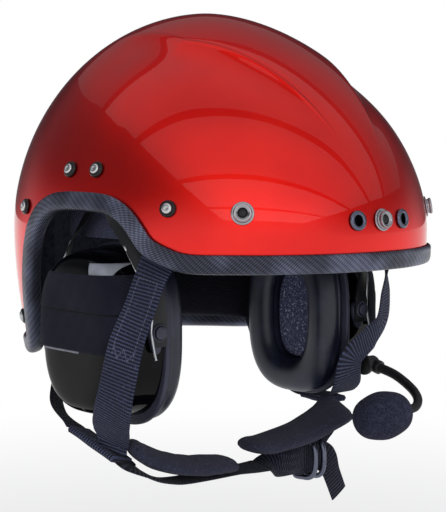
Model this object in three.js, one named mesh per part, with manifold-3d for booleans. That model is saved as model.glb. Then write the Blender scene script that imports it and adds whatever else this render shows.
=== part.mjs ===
// Open-face crew helmet with sprung ear cups, a boom microphone and a double-ring chin strap.
// Millimetres, +Z up. The helmet faces -Y and the wearer's left is +X.
// The origin lies on the head's axis, level with the lower edge of the brow trim.
import * as THREE from 'three';
import Module from 'manifold-3d';
import { mergeVertices } from 'three/addons/utils/BufferGeometryUtils.js';

const wasm = await Module();
wasm.setup();

// Shell: half sizes of the dome, measured from its widest level.
const SHELL_HALF_WIDTH = 121.5;
const SHELL_HALF_LENGTH = 141;
const SHELL_CROWN_RISE = 137.5;
const SHELL_LOWER_REACH = 230;
const WIDEST_Z = 20;
const SHELL_CENTRE_Y = -1;
const CROWN_SETBACK = 10.5;
const SHELL_WALL = 3;
const PLAN_POWER = 2.1;
const FRONT_POWER = 1.78;
const REAR_POWER = 1.92;

// Raised crown panel, bounded by a crease with a shallow valley outside it.
const PANEL_REAR_Y = -30;
const PANEL_FRONT_Y = -131;
const PANEL_REAR_HALF = 52;
const PANEL_FRONT_HALF = 14;
const PANEL_TAIL_Y = 48;
const PANEL_TAIL_LENGTH = 50;
const VALLEY_DEPTH = 3.4;
const VALLEY_REAR_REACH = 17;
const VALLEY_FRONT_REACH = 7;

// Shell edge: brow, ear arch and nape.
const BROW_EDGE_Z = 2.5;
const ARCH_FRONT_SHARE = 84 / 141;
const ARCH_FRONT_Y = -SHELL_HALF_LENGTH * ARCH_FRONT_SHARE;
const ARCH_LENGTH = 126;
const ARCH_REAR_Y = ARCH_FRONT_Y + ARCH_LENGTH;
const ARCH_HEIGHT = 33.5;
const NAPE_DROP = 61;
const ARCH_SHARES = [
  [0.003, 0.02], [0.081, 0.12], [0.169, 0.305], [0.22, 0.552], [0.256, 0.713], [0.302, 0.85],
  [0.365, 0.95], [0.437, 0.988], [0.53, 1], [0.65, 1], [0.746, 0.955], [0.833, 0.82],
  [0.9, 0.597], [0.948, 0.31], [0.98, 0.015],
];
const NAPE_SHARES = [
  [1.008, 0.172], [1.036, 0.434], [1.06, 0.697], [1.095, 0.877], [1.159, 0.975], [1.24, 1],
];
const EDGE_STATIONS = 39;

// Edge trim: a U-shaped moulding over the shell edge.
const FIT_GAP = 0.3;
const TRIM_GAP = 0.6;
const WALL_GAP = 1.4;
const TRIM_LEG = 8.5;
const TRIM_OUTER = 2;
const TRIM_INNER = 3.5;
const TRIM_BULB = 2.5;
const TRIM_SOFTEN = 1;

// Linings, each by its thickness.
const FOAM_THICKNESS = 19;
const FOAM_SHELL_GAP = 3;
const FOAM_EDGE_GAP = 4;
const FOAM_EAR_RISE = 44;
const PAD_THICKNESS = 6;
const PAD_GAP = 1.3;
const CROWN_PAD_REACH = 62;
const BROW_PAD_HEIGHT = 34;
const SIDE_LINER_HEIGHT = 62;
const SIDE_LINER_LEAN = 4;
const NECK_ROLL_HEIGHT = 38;
const NECK_ROLL_DEPTH = 16;
const NECK_ROLL_SETBACK = 17.28;

// Places along the arch that the cups, their carriers and the strap ends keep to.
const CUP_ALONG_SHARE = 80.4 / 126;
const CUP_Y = ARCH_FRONT_Y + ARCH_LENGTH * CUP_ALONG_SHARE;
const HUB_LEAD = 8.4;
const HUB_Y = CUP_Y - HUB_LEAD;

// Fasteners on the shell.
const SCREW_SHANK_R = 2;
const SCREW_HOLE_R = 2.35;
const SCREW_HEAD_R = 2.7;
const WASHER_R = 4.7;
const WASHER_HEIGHT = 2.2;
const SCREW_HEAD_RISE = 1;
const STUD_BASE_R = 6.6;
const STUD_BASE_HEIGHT = 1.4;
const STUD_NECK_R = 4.2;
const STUD_CAP_R = 5.1;
const STUD_HEIGHT = 5.6;
const STUD_SOCKET_R = 2.1;
const STUD_SOCKET_DEPTH = 2;
const GROMMET_R = 6;
const GROMMET_LIP = 1.6;
const GROMMET_SLEEVE_R = 4.2;
const GROMMET_BORE_R = 2.8;
const CARRIER_SCREW_Z = 57.6;
const CARRIER_SCREW_PITCH = 23.2;
const CARRIER_SCREW_Y = HUB_Y + CARRIER_SCREW_PITCH / 2;
const FRONT_SCREW_SETBACK = 8.6;
const FRONT_SCREW_Y = ARCH_FRONT_Y + FRONT_SCREW_SETBACK;
const FRONT_SCREW_Z = 36;
const REAR_SCREW_SETBACK = 4.5;
const REAR_SCREW_Y = ARCH_REAR_Y + REAR_SCREW_SETBACK;
const REAR_SCREW_Z = 34.4;
const NAPE_SCREW_SETBACK = 24;
const NAPE_SCREW_Y = ARCH_REAR_Y + NAPE_SCREW_SETBACK;
const NAPE_SCREW_Z = -36;
const SIDE_STUD_SHARE = 0.776;
const SIDE_STUD_Y = -SHELL_HALF_LENGTH * SIDE_STUD_SHARE;
const SIDE_STUD_Z = 33.8;
const FRONT_STUD_Z = 29;
const GROMMET_PITCH = 38.4;

// Ear cup: an oval dish, with its seal towards the head.
const CUP_Z = -40;
const CUP_LENGTH_SHARE = 41 / 126;
const CUP_HALF_LENGTH = ARCH_LENGTH * CUP_LENGTH_SHARE;
const CUP_HALF_HEIGHT = 52;
const CUP_FACE_INSET = 5.5;
const CUP_FACE_OUT = SHELL_HALF_WIDTH - CUP_FACE_INSET;
const CUP_DEPTH = 35;
const CUP_WALL = 2.5;
const OVAL_POWER = 2.7;
const CUP_PROFILE_SHARES = [
  [0.5, 0], [0.72, 0.02], [0.82, 0.06], [0.89, 0.15], [0.935, 0.32], [0.965, 0.58], [0.985, 0.82], [1, 1],
];
const BACKPLATE_THICKNESS = 3.4;
const BACKPLATE_LIP = 2;
const BACKPLATE_DROP = 2;
const CUSHION_DEPTH = 17;
const CUSHION_INSET = 1;
const CUSHION_HALF_LENGTH = CUP_HALF_LENGTH - CUSHION_INSET;
const CUSHION_HALF_HEIGHT = 54;
const EAR_OPENING_HALF_LENGTH = 17.5;
const EAR_OPENING_HALF_HEIGHT = 31;
const CUSHION_SECTION_SHARES = [
  [0, 0.93], [0.17, 1], [0.5, 1], [0.82, 0.86], [0.97, 0.68], [1, 0.5], [0.94, 0.27], [0.78, 0.1],
  [0.45, 0.01], [0, 0.02],
];
const FOAM_INSERT_THICKNESS = 5;
const SPEAKER_R = 20;
const SPEAKER_DEPTH = 8;
const BAND_THICKNESS = 1.2;
const BAND_LIFT = 1.1;
const BAND_TOP_SHARE = 0.7;
const BAND_BOTTOM_SHARE = -0.18;

// Sprung yoke that carries the cup, and the carrier inside the shell.
const HUB_INSET = 17.5;
const HUB_OUT = SHELL_HALF_WIDTH - HUB_INSET;
const HUB_Z = 47.5;
const HUB_R = 4;
const HUB_LENGTH = 22;
const TRUNNION_R = 2;
const TRUNNION_GAP = 0.3;
const LUG_THICKNESS = 2.5;
const LUG_GAP = 1.6;
const LUG_HALF_HEIGHT = 4;
const CARRIER_THICKNESS = 2.5;
const CARRIER_HEIGHT = 12;
const CARRIER_LENGTH = 38;
const LEG_WIDTH = 11;
const LEG_THICKNESS = 1.4;
const PIVOT_INSET = 27.5;
const PIVOT_OUT = CUP_FACE_OUT - PIVOT_INSET;
const PIVOT_Z = -37;
const PIVOT_PLATE_THICKNESS = 2.8;
const PIVOT_PLATE_R = 6.2;
const PIVOT_PLATE_HEIGHT = 19;
const PIVOT_PIN_R = 2.5;
const PIVOT_PIN_GAP = 0.3;
const PIVOT_HEAD_R = 3.9;
const PIVOT_HEAD_HEIGHT = 1.3;
const PIVOT_SIDE_GAP = 0.7;

// Webbing and chin parts.
const WEB_WIDTH = 25;
const REAR_WEB_WIDTH = 18;
const CHIN_WEB_WIDTH = 20;
const WEB_THICKNESS = 1.6;
const JUNCTION_THICKNESS = 4.5;
const CHIN_PAD_WIDTH = 27;
const CHIN_PAD_THICKNESS = 9.5;
const RING_WIRE_R = 1.8;
const RING_HALF_HEIGHT = 12.6;
const RING_DEPTH = 18;
const RING_PITCH = 8;
const RING_OUT_SHARE = 42.5 / 116;
const RING_X = CUP_FACE_OUT * RING_OUT_SHARE;
const RING_LEAD = 29.4;
const RING_BAR_Y = CUP_Y - RING_LEAD;
const RING_Z = -133;

// Microphone.
const BOOM_BASE_R = 7;
const BOOM_INSET = 18;
const BOOM_OUT = CUP_FACE_OUT - BOOM_INSET;
const BOOM_LEAD_SHARE = 41.9 / 41;
const BOOM_Y = CUP_Y - CUP_HALF_LENGTH * BOOM_LEAD_SHARE;
const BOOM_Z = -76;
const BOOM_BASE_THICKNESS = 3;
const BOOM_FOOT_HEIGHT = 12;
const KNUCKLE_R = 5.6;
const KNUCKLE_THICKNESS = 10;
const BOOM_COLLAR_R = 4.9;
const BOOM_COLLAR_LENGTH = 3;
const BOOM_R = 3.3;
const MIC_R = 4.8;
const MIC_LENGTH = 12;
const WINDSCREEN_HALF_LENGTH = 20;
const WINDSCREEN_R = 15.4;
const WINDSCREEN_POCKET_GAP = 0.6;

const SIDES = [['right', -1], ['left', 1]];
const group = new THREE.Group();

// Colours and finishes seen on the helmet.
function finish(colour, roughness, metalness) {
  return new THREE.MeshStandardMaterial({ color: colour, roughness, metalness });
}
const candyRed = finish(0xb4100c, 0.15, 0.45);
const trimBlack = finish(0x1c1d26, 0.5, 0);
const foamBlack = finish(0x15151a, 0.95, 0);
const linerCloth = finish(0x1d1d29, 0.9, 0);
const darkSteel = finish(0x2b2c30, 0.35, 0.8);
const brightSteel = finish(0xbfc1c4, 0.25, 1);
const webbingNavy = finish(0x1e2033, 0.85, 0);
const glossBlack = finish(0x08080a, 0.12, 0);
const mattBlack = finish(0x1b1c21, 0.6, 0);
const leatherette = finish(0x14141a, 0.45, 0);
const bandCloth = finish(0x1a1b24, 0.95, 0);

// Small helpers on numbers and meshes.
const clamp01 = (value) => Math.min(1, Math.max(0, value));
const lerp = (a, b, share) => a + (b - a) * share;
const smooth = (share) => clamp01(share) ** 2 * (3 - 2 * clamp01(share));
const at = (side, out, y, z) => new THREE.Vector3(side * out, y, z);

function meshGeometry(points, faces) {
  const geometry = new THREE.BufferGeometry();
  const places = points.flatMap((p) => [p.x, p.y, p.z]);
  geometry.setAttribute('position', new THREE.Float32BufferAttribute(places, 3));
  geometry.setIndex(faces);
  return facingOut(geometry);
}

// Turns every face of a closed mesh to point away from the material.
function facingOut(geometry) {
  const position = geometry.attributes.position;
  const index = geometry.index.array;
  const [a, b, c] = [new THREE.Vector3(), new THREE.Vector3(), new THREE.Vector3()];
  let volume = 0;
  for (let i = 0; i < index.length; i += 3) {
    a.fromBufferAttribute(position, index[i]);
    b.fromBufferAttribute(position, index[i + 1]);
    c.fromBufferAttribute(position, index[i + 2]);
    volume += a.dot(b.cross(c));
  }
  if (volume < 0) {
    const turned = Array.from(index);
    for (let i = 0; i < turned.length; i += 3) {
      [turned[i], turned[i + 1]] = [turned[i + 1], turned[i]];
    }
    geometry.setIndex(turned);
  }
  return geometry;
}

// A solid through rings of equal point counts, either closed on itself or capped at both ends.
function loft(rings, looped = false) {
  const count = rings[0].length;
  const points = rings.flat();
  const faces = [];
  const spans = looped ? rings.length : rings.length - 1;
  for (let i = 0; i < spans; i++) {
    const near = i * count;
    const far = ((i + 1) % rings.length) * count;
    for (let j = 0; j < count; j++) {
      const k = (j + 1) % count;
      faces.push(near + j, near + k, far + j, near + k, far + k, far + j);
    }
  }
  if (!looped) {
    for (const [start, turn] of [[0, 1], [(rings.length - 1) * count, -1]]) {
      const middle = new THREE.Vector3();
      for (let j = 0; j < count; j++) {
        middle.addScaledVector(points[start + j], 1 / count);
      }
      points.push(middle);
      for (let j = 0; j < count; j++) {
        const k = (j + 1) % count;
        faces.push(points.length - 1, start + (turn > 0 ? k : j), start + (turn > 0 ? j : k));
      }
    }
  }
  return meshGeometry(points, faces);
}

// A sheet with thickness, from two matching grids of points.
function slab(front, back) {
  const rows = front.length;
  const columns = front[0].length;
  const points = [...front.flat(), ...back.flat()];
  const faces = [];
  const cell = (layer, i, j) => layer * rows * columns + i * columns + j;
  const quad = (a, b, c, d) => faces.push(a, b, c, a, c, d);
  for (let i = 0; i < rows - 1; i++) {
    for (let j = 0; j < columns - 1; j++) {
      quad(cell(0, i, j), cell(0, i, j + 1), cell(0, i + 1, j + 1), cell(0, i + 1, j));
      quad(cell(1, i, j), cell(1, i + 1, j), cell(1, i + 1, j + 1), cell(1, i, j + 1));
    }
  }
  for (let j = 0; j < columns - 1; j++) {
    quad(cell(0, 0, j + 1), cell(0, 0, j), cell(1, 0, j), cell(1, 0, j + 1));
    quad(cell(0, rows - 1, j), cell(0, rows - 1, j + 1), cell(1, rows - 1, j + 1), cell(1, rows - 1, j));
  }
  for (let i = 0; i < rows - 1; i++) {
    quad(cell(0, i, 0), cell(0, i + 1, 0), cell(1, i + 1, 0), cell(1, i, 0));
    const last = columns - 1;
    quad(cell(0, i + 1, last), cell(0, i, last), cell(1, i, last), cell(1, i + 1, last));
  }
  return meshGeometry(points, faces);
}

// A solid swept along hand-placed points. Each point has the direction of the width and a [width, thickness].
const FLAT_SECTION = [[-1, 1], [1, 1], [1, -1], [-1, -1]];
const OVAL_SECTION = Array.from({ length: 10 }, (_, i) => {
  const angle = i / 10 * Math.PI * 2;
  const c = Math.cos(angle);
  const s = Math.sin(angle);
  return [Math.sign(c) * Math.abs(c) ** 0.7, Math.sign(s) * Math.abs(s) ** 0.8];
});
function sweep(points, widths, sizes, steps, section, plumpAt = () => 1) {
  const route = new THREE.CatmullRomCurve3(points, false, 'centripetal');
  const rings = [];
  for (let i = 0; i <= steps; i++) {
    const share = i / steps;
    const middle = route.getPoint(share);
    const along = route.getTangent(share);
    const place = share * (points.length - 1);
    const low = Math.min(points.length - 2, Math.floor(place));
    const across = widths[low].clone().lerp(widths[low + 1], place - low);
    across.addScaledVector(along, -across.dot(along)).normalize();
    const normal = along.clone().cross(across).normalize();
    const width = lerp(sizes[low][0], sizes[low + 1][0], place - low) * plumpAt(share) / 2;
    const thickness = lerp(sizes[low][1], sizes[low + 1][1], place - low) * plumpAt(share) / 2;
    rings.push(section.map(([sideways, lift]) => middle.clone()
      .addScaledVector(across, sideways * width)
      .addScaledVector(normal, lift * thickness)));
  }
  return loft(rings);
}
const strip = (points, widths, width, thickness, steps) => (
  sweep(points, widths, points.map(() => [width, thickness]), steps, FLAT_SECTION)
);
function paddedStrip(points, widths, width, thickness, steps) {
  const plumpAt = (share) => 0.55 + 0.45 * Math.sqrt(clamp01(Math.min(share, 1 - share) * 8));
  return sweep(points, widths, points.map(() => [width, thickness]), steps, OVAL_SECTION, plumpAt);
}

// Joins and cuts.
function toSolid(geometry) {
  const bare = geometry.clone();
  for (const name of Object.keys(bare.attributes)) {
    if (name !== 'position') {
      bare.deleteAttribute(name);
    }
  }
  const merged = mergeVertices(bare, 1e-5);
  return new wasm.Manifold(new wasm.Mesh({
    numProp: 3,
    vertProperties: Float32Array.from(merged.attributes.position.array),
    triVerts: Uint32Array.from(merged.index.array),
  }));
}
function toGeometry(solid) {
  const mesh = solid.getMesh();
  const geometry = new THREE.BufferGeometry();
  geometry.setAttribute('position', new THREE.Float32BufferAttribute(mesh.vertProperties, 3));
  geometry.setIndex(Array.from(mesh.triVerts));
  return geometry;
}
function cut(base, tools) {
  return toGeometry(tools.reduce((left, tool) => left.subtract(toSolid(tool)), toSolid(base)));
}
function join(parts) {
  return toGeometry(parts.slice(1).reduce((sum, part) => sum.add(toSolid(part)), toSolid(parts[0])));
}

// A turned piece: its profile is [radius, height] points from axis to axis, placed along a direction.
function turned(profile, origin, direction, steps = 16) {
  const geometry = new THREE.LatheGeometry(profile.map(([r, h]) => new THREE.Vector2(r, h)), steps);
  geometry.applyQuaternion(new THREE.Quaternion().setFromUnitVectors(new THREE.Vector3(0, 1, 0), direction));
  geometry.translate(origin.x, origin.y, origin.z);
  geometry.deleteAttribute('normal');
  geometry.deleteAttribute('uv');
  const merged = mergeVertices(geometry, 1e-5);
  const faces = [];
  for (let i = 0; i < merged.index.count; i += 3) {
    const corners = [0, 1, 2].map((k) => merged.index.getX(i + k));
    if (new Set(corners).size === 3) {
      faces.push(...corners);
    }
  }
  merged.setIndex(faces);
  return facingOut(merged);
}
function rod(from, to, radius, steps = 16) {
  const direction = to.clone().sub(from);
  const length = direction.length();
  return turned([[0, 0], [radius, 0], [radius, length], [0, length]], from, direction.normalize(), steps);
}
function box(low, high) {
  const geometry = new THREE.BoxGeometry(high.x - low.x, high.y - low.y, high.z - low.z);
  geometry.translate((low.x + high.x) / 2, (low.y + high.y) / 2, (low.z + high.z) / 2);
  return geometry;
}
function orderedBox(a, b) {
  return box(a.clone().min(b), a.clone().max(b));
}
function add(name, geometry, material) {
  const mesh = new THREE.Mesh(geometry, material);
  mesh.name = name;
  group.add(mesh);
  return mesh;
}

// Dome surface. Bearing runs from the brow (0) by the wearer's left (90 degrees) to the nape (180 degrees).
function panelRelief(x, y) {
  const along = clamp01((PANEL_REAR_Y - y) / (PANEL_REAR_Y - PANEL_FRONT_Y));
  const over = Math.abs(x) - lerp(PANEL_REAR_HALF, PANEL_FRONT_HALF, along);
  if (over <= 0) {
    return 0;
  }
  const reach = lerp(VALLEY_REAR_REACH, VALLEY_FRONT_REACH, along);
  const fade = smooth((1 - along) * 1.6) * smooth((PANEL_TAIL_Y - y) / PANEL_TAIL_LENGTH);
  return -VALLEY_DEPTH * fade * (over / reach) * Math.exp(1 - over / reach);
}
function plainDome(bearing, zenith) {
  const dx = Math.sin(zenith) * Math.sin(bearing);
  const dy = -Math.sin(zenith) * Math.cos(bearing);
  const dz = Math.cos(zenith);
  const power = lerp(REAR_POWER, FRONT_POWER, 0.5 + 0.5 * Math.cos(bearing));
  const rise = dz > 0 ? SHELL_CROWN_RISE : SHELL_LOWER_REACH;
  const plan = Math.abs(dx / SHELL_HALF_WIDTH) ** PLAN_POWER + Math.abs(dy / SHELL_HALF_LENGTH) ** PLAN_POWER;
  const reach = (plan ** (power / PLAN_POWER) + Math.abs(dz / rise) ** power) ** (-1 / power);
  const height = reach * dz;
  const setback = CROWN_SETBACK * (Math.max(height, 0) / SHELL_CROWN_RISE) ** 2;
  return new THREE.Vector3(reach * dx, reach * dy + SHELL_CENTRE_Y + setback, height + WIDEST_Z);
}
function domeNormal(bearing, zenith) {
  const step = 1e-3;
  const tilt = Math.max(zenith, 4 * step);
  const around = plainDome(bearing + step, tilt).sub(plainDome(bearing - step, tilt));
  const down = plainDome(bearing, tilt + step).sub(plainDome(bearing, tilt - step));
  return down.cross(around).normalize();
}
function skin(bearing, zenith, depth = 0) {
  const point = plainDome(bearing, zenith);
  const topNormal = () => domeNormal(0, 0).add(domeNormal(Math.PI, 0)).normalize();
  const normal = zenith > 0 ? domeNormal(bearing, zenith) : topNormal();
  return point.addScaledVector(normal, panelRelief(point.x, point.y) - depth);
}
function bisect(low, high, below) {
  for (let i = 0; i < 40; i++) {
    const middle = (low + high) / 2;
    if (below(middle)) {
      low = middle;
    } else {
      high = middle;
    }
  }
  return (low + high) / 2;
}
const zenithAt = (bearing, z) => bisect(0, Math.PI * 0.75, (zenith) => plainDome(bearing, zenith).z > z);
const bearingAt = (y, z) => bisect(0, Math.PI, (bearing) => plainDome(bearing, zenithAt(bearing, z)).y < y);
const levelPoint = (bearing, z, depth) => skin(bearing, zenithAt(bearing, z), depth);

// Frame on the shell at a fore-aft place and height: the point, its normal and the bearing.
function spot(side, y, z) {
  const bearing = side * bearingAt(y, z);
  const zenith = zenithAt(bearing, z);
  return { point: skin(bearing, zenith), normal: domeNormal(bearing, zenith), bearing, zenith };
}

// The shell edge as stations of bearing and height, evenly spaced along it.
const BROW_BEARING_SHARES = [0, 0.11, 0.2];
const NAPE_BEARING_SHARES = [0.92, 1];
const edgeKnots = [
  ...BROW_BEARING_SHARES.map((share) => [share * Math.PI, BROW_EDGE_Z]),
  ...ARCH_SHARES.map(([along, height]) => {
    const z = BROW_EDGE_Z + height * ARCH_HEIGHT;
    return [bearingAt(ARCH_FRONT_Y + along * ARCH_LENGTH, z), z];
  }),
  ...NAPE_SHARES.map(([along, drop]) => {
    const z = BROW_EDGE_Z - drop * NAPE_DROP;
    return [bearingAt(ARCH_FRONT_Y + along * ARCH_LENGTH, z), z];
  }),
  ...NAPE_BEARING_SHARES.map((share) => [share * Math.PI, BROW_EDGE_Z - NAPE_DROP]),
];
const edgeCurve = new THREE.CatmullRomCurve3(
  edgeKnots.map(([bearing, z]) => new THREE.Vector3(bearing * SHELL_HALF_WIDTH, z, 0)),
  false,
  'centripetal',
);
const halfEdge = edgeCurve.getSpacedPoints(EDGE_STATIONS).map((p) => [p.x / SHELL_HALF_WIDTH, p.y]);
const edge = [
  ...halfEdge.slice(0, EDGE_STATIONS),
  ...halfEdge.slice(1).reverse().map(([bearing, z]) => [-bearing, z]),
];

// A dome-shaped solid between two depths, from the crown down to a lower edge.
function domeSolid(stations, outerShares, innerShares, outerDepth, innerDepth) {
  const points = [skin(0, 0, outerDepth)];
  const rows = outerShares.length + innerShares.length;
  for (const [bearing, z] of stations) {
    const low = zenithAt(bearing, z);
    points.push(...outerShares.map((share) => skin(bearing, low * share, outerDepth)));
    points.push(...[...innerShares].reverse().map((share) => skin(bearing, low * share, innerDepth)));
  }
  points.push(skin(0, 0, innerDepth));
  const faces = [];
  for (let i = 0; i < stations.length; i++) {
    const near = 1 + i * rows;
    const far = 1 + ((i + 1) % stations.length) * rows;
    faces.push(0, near, far);
    for (let j = 0; j < rows - 1; j++) {
      faces.push(near + j, near + j + 1, far + j, near + j + 1, far + j + 1, far + j);
    }
    faces.push(near + rows - 1, points.length - 1, far + rows - 1);
  }
  return meshGeometry(points, faces);
}

// A lining panel between two bearings and heights.
function liningPanel(bearings, heights, outerDepth, innerDepth) {
  const grid = (depthOf) => heights.map((z, row) => bearings.map((b) => levelPoint(b, z, depthOf(row))));
  return slab(grid(outerDepth), grid(innerDepth));
}
const spread = (from, to, steps) => Array.from({ length: steps + 1 }, (_, i) => lerp(from, to, i / steps));

// Shell with its fastener holes.
const fastenerSpots = [];
for (const [name, side] of SIDES) {
  fastenerSpots.push([`carrier_screw_rear_${name}`, spot(side, CARRIER_SCREW_Y, CARRIER_SCREW_Z)]);
  fastenerSpots.push([
    `carrier_screw_front_${name}`,
    spot(side, CARRIER_SCREW_Y - CARRIER_SCREW_PITCH, CARRIER_SCREW_Z),
  ]);
  fastenerSpots.push([`strap_screw_front_${name}`, spot(side, FRONT_SCREW_Y, FRONT_SCREW_Z)]);
  fastenerSpots.push([`strap_screw_rear_${name}`, spot(side, REAR_SCREW_Y, REAR_SCREW_Z)]);
  fastenerSpots.push([`nape_screw_${name}`, spot(side, NAPE_SCREW_Y, NAPE_SCREW_Z)]);
}
function frontSpot(x, z) {
  const bearing = Math.sign(x) * bisect(0, Math.PI / 2, (b) => plainDome(b, zenithAt(b, z)).x < Math.abs(x));
  const zenith = zenithAt(bearing, z);
  return { point: skin(bearing, zenith), normal: domeNormal(bearing, zenith), bearing, zenith };
}
const studSpots = [
  ...SIDES.map(([name, side]) => [`visor_stud_${name}`, spot(side, SIDE_STUD_Y, SIDE_STUD_Z)]),
  ['visor_stud_centre', frontSpot(0, FRONT_STUD_Z)],
];
const grommetSpots = SIDES.map(([name, side]) => (
  [`grommet_${name}`, frontSpot(side * GROMMET_PITCH / 2, FRONT_STUD_Z)]
));
function holeTool(place, radius, depth, steps = 10) {
  const from = place.point.clone().addScaledVector(place.normal, -depth);
  const to = place.point.clone().addScaledVector(place.normal, SHELL_WALL);
  return rod(from, to, radius, steps);
}
const SHELL_OUTER_SHARES = [0.08, 0.17, 0.26, 0.35, 0.44, 0.53, 0.62, 0.71, 0.79, 0.87, 0.94, 1];
const SHELL_INNER_SHARES = [0.15, 0.3, 0.45, 0.6, 0.74, 0.87, 0.94, 1];
function buildShell() {
  const dome = domeSolid(edge, SHELL_OUTER_SHARES, SHELL_INNER_SHARES, 0, SHELL_WALL);
  const tools = [
    ...fastenerSpots.map(([, place]) => holeTool(place, SCREW_HOLE_R, 2 * SHELL_WALL)),
    ...studSpots.map(([, place]) => holeTool(place, SCREW_HOLE_R, 2 * SHELL_WALL)),
    ...grommetSpots.map(([, place]) => holeTool(place, GROMMET_SLEEVE_R + FIT_GAP, 2 * SHELL_WALL)),
  ];
  return cut(dome, tools);
}
add('shell', buildShell(), candyRed);

// Edge trim, wrapped over the shell edge all round.
function buildTrim() {
  const outer = TRIM_GAP + TRIM_OUTER;
  const inner = -SHELL_WALL - TRIM_GAP;
  const sag = TRIM_LEG ** 2 / (2 * SHELL_HALF_WIDTH);
  const section = [
    [TRIM_LEG, TRIM_GAP],
    [TRIM_LEG - TRIM_SOFTEN / 2, TRIM_GAP + TRIM_OUTER * 0.7],
    [TRIM_LEG - 2 * TRIM_SOFTEN, outer],
    [0, outer],
    [-TRIM_BULB * 0.7, outer - TRIM_SOFTEN],
    [-TRIM_BULB, (outer + inner - TRIM_INNER) / 2],
    [-TRIM_BULB * 0.7, inner - TRIM_INNER + TRIM_SOFTEN],
    [0, inner - TRIM_INNER],
    [TRIM_LEG, inner - TRIM_INNER - sag],
    [TRIM_LEG, inner - sag],
    [-TRIM_GAP, inner],
    [-TRIM_GAP, TRIM_GAP],
  ];
  const rings = edge.map(([bearing, z], i) => {
    const zenith = zenithAt(bearing, z);
    const middle = skin(bearing, zenith);
    const normal = domeNormal(bearing, zenith);
    const [nextBearing, nextZ] = edge[(i + 1) % edge.length];
    const [lastBearing, lastZ] = edge[(i + edge.length - 1) % edge.length];
    const along = levelPoint(nextBearing, nextZ, 0).sub(levelPoint(lastBearing, lastZ, 0)).normalize();
    const inwards = normal.clone().cross(along).normalize();
    if (inwards.dot(skin(bearing, zenith * 0.98).sub(middle)) < 0) {
      inwards.negate();
    }
    return section.map(([m, n]) => middle.clone().addScaledVector(inwards, m).addScaledVector(normal, n));
  });
  return loft(rings, true);
}
add('edge_trim', buildTrim(), trimBlack);

// Impact foam, raised over the ears to leave room for the cups and their carriers.
const FOAM_OUTER = SHELL_WALL + FOAM_SHELL_GAP;
const FOAM_INNER = FOAM_OUTER + FOAM_THICKNESS;
const PAD_OUTER = FOAM_INNER + PAD_GAP;
const PAD_INNER = PAD_OUTER + PAD_THICKNESS;
const FOAM_BEARING_SHARES = { browEnd: 0.19, earStart: 0.265, earEnd: 0.65, napeStart: 0.75 };
function foamEdgeZ(bearing) {
  const share = Math.abs(bearing) / Math.PI;
  const brow = BROW_EDGE_Z + TRIM_LEG + FOAM_EDGE_GAP;
  const ear = BROW_EDGE_Z + ARCH_HEIGHT + FOAM_EAR_RISE;
  const nape = BROW_EDGE_Z - NAPE_DROP + TRIM_LEG + FOAM_EDGE_GAP;
  const { browEnd, earStart, earEnd, napeStart } = FOAM_BEARING_SHARES;
  const front = lerp(brow, ear, smooth((share - browEnd) / (earStart - browEnd)));
  return lerp(front, nape, smooth((share - earEnd) / (napeStart - earEnd)));
}
const foamStations = spread(-Math.PI, Math.PI, 50).slice(1).map((bearing) => [bearing, foamEdgeZ(bearing)]);
const FOAM_OUTER_SHARES = [0.2, 0.4, 0.6, 0.8, 1];
const FOAM_INNER_SHARES = [0.1, 0.2, 0.32, 0.44, 0.56, 0.68, 0.79, 0.9, 1];
add(
  'impact_liner',
  domeSolid(foamStations, FOAM_OUTER_SHARES, FOAM_INNER_SHARES, FOAM_OUTER, FOAM_INNER),
  foamBlack,
);

// Comfort lining.
const CROWN_PAD_OUTER_SHARES = [0.25, 0.5, 0.75, 1];
const CROWN_PAD_INNER_SHARES = [0.5, 0.9];
function buildCrownPad() {
  const stations = spread(-Math.PI, Math.PI, 24).slice(1).map((bearing) => {
    const rim = bisect(0, Math.PI / 2, (zenith) => {
      const point = plainDome(bearing, zenith);
      return Math.hypot(point.x, point.y - SHELL_CENTRE_Y - CROWN_SETBACK) < CROWN_PAD_REACH;
    });
    return [bearing, plainDome(bearing, rim).z];
  });
  return domeSolid(
    stations,
    CROWN_PAD_OUTER_SHARES,
    CROWN_PAD_INNER_SHARES,
    PAD_OUTER + FIT_GAP,
    PAD_INNER,
  );
}
add('crown_pad', buildCrownPad(), linerCloth);

const BROW_PAD_SPAN_SHARE = 0.185;
const browPadLow = BROW_EDGE_Z + TRIM_LEG + FOAM_EDGE_GAP + FIT_GAP;
add(
  'brow_pad',
  liningPanel(
    spread(-BROW_PAD_SPAN_SHARE * Math.PI, BROW_PAD_SPAN_SHARE * Math.PI, 14),
    spread(browPadLow, browPadLow + BROW_PAD_HEIGHT, 3),
    () => PAD_OUTER,
    () => PAD_INNER,
  ),
  linerCloth,
);

const SIDE_LINER_SPAN_SHARES = [0.27, 0.64];
const SIDE_LINER_ROWS = 4;
for (const [name, side] of SIDES) {
  const low = CUP_Z + CUP_HALF_HEIGHT + TRIM_LEG + FIT_GAP;
  const hang = (row) => SIDE_LINER_LEAN * (1 - row / SIDE_LINER_ROWS);
  add(
    `side_liner_${name}`,
    liningPanel(
      spread(side * SIDE_LINER_SPAN_SHARES[0] * Math.PI, side * SIDE_LINER_SPAN_SHARES[1] * Math.PI, 12),
      spread(low, low + SIDE_LINER_HEIGHT, SIDE_LINER_ROWS),
      (row) => PAD_OUTER - FIT_GAP + hang(row),
      (row) => PAD_INNER - FIT_GAP + hang(row),
    ),
    linerCloth,
  );
}

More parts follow.
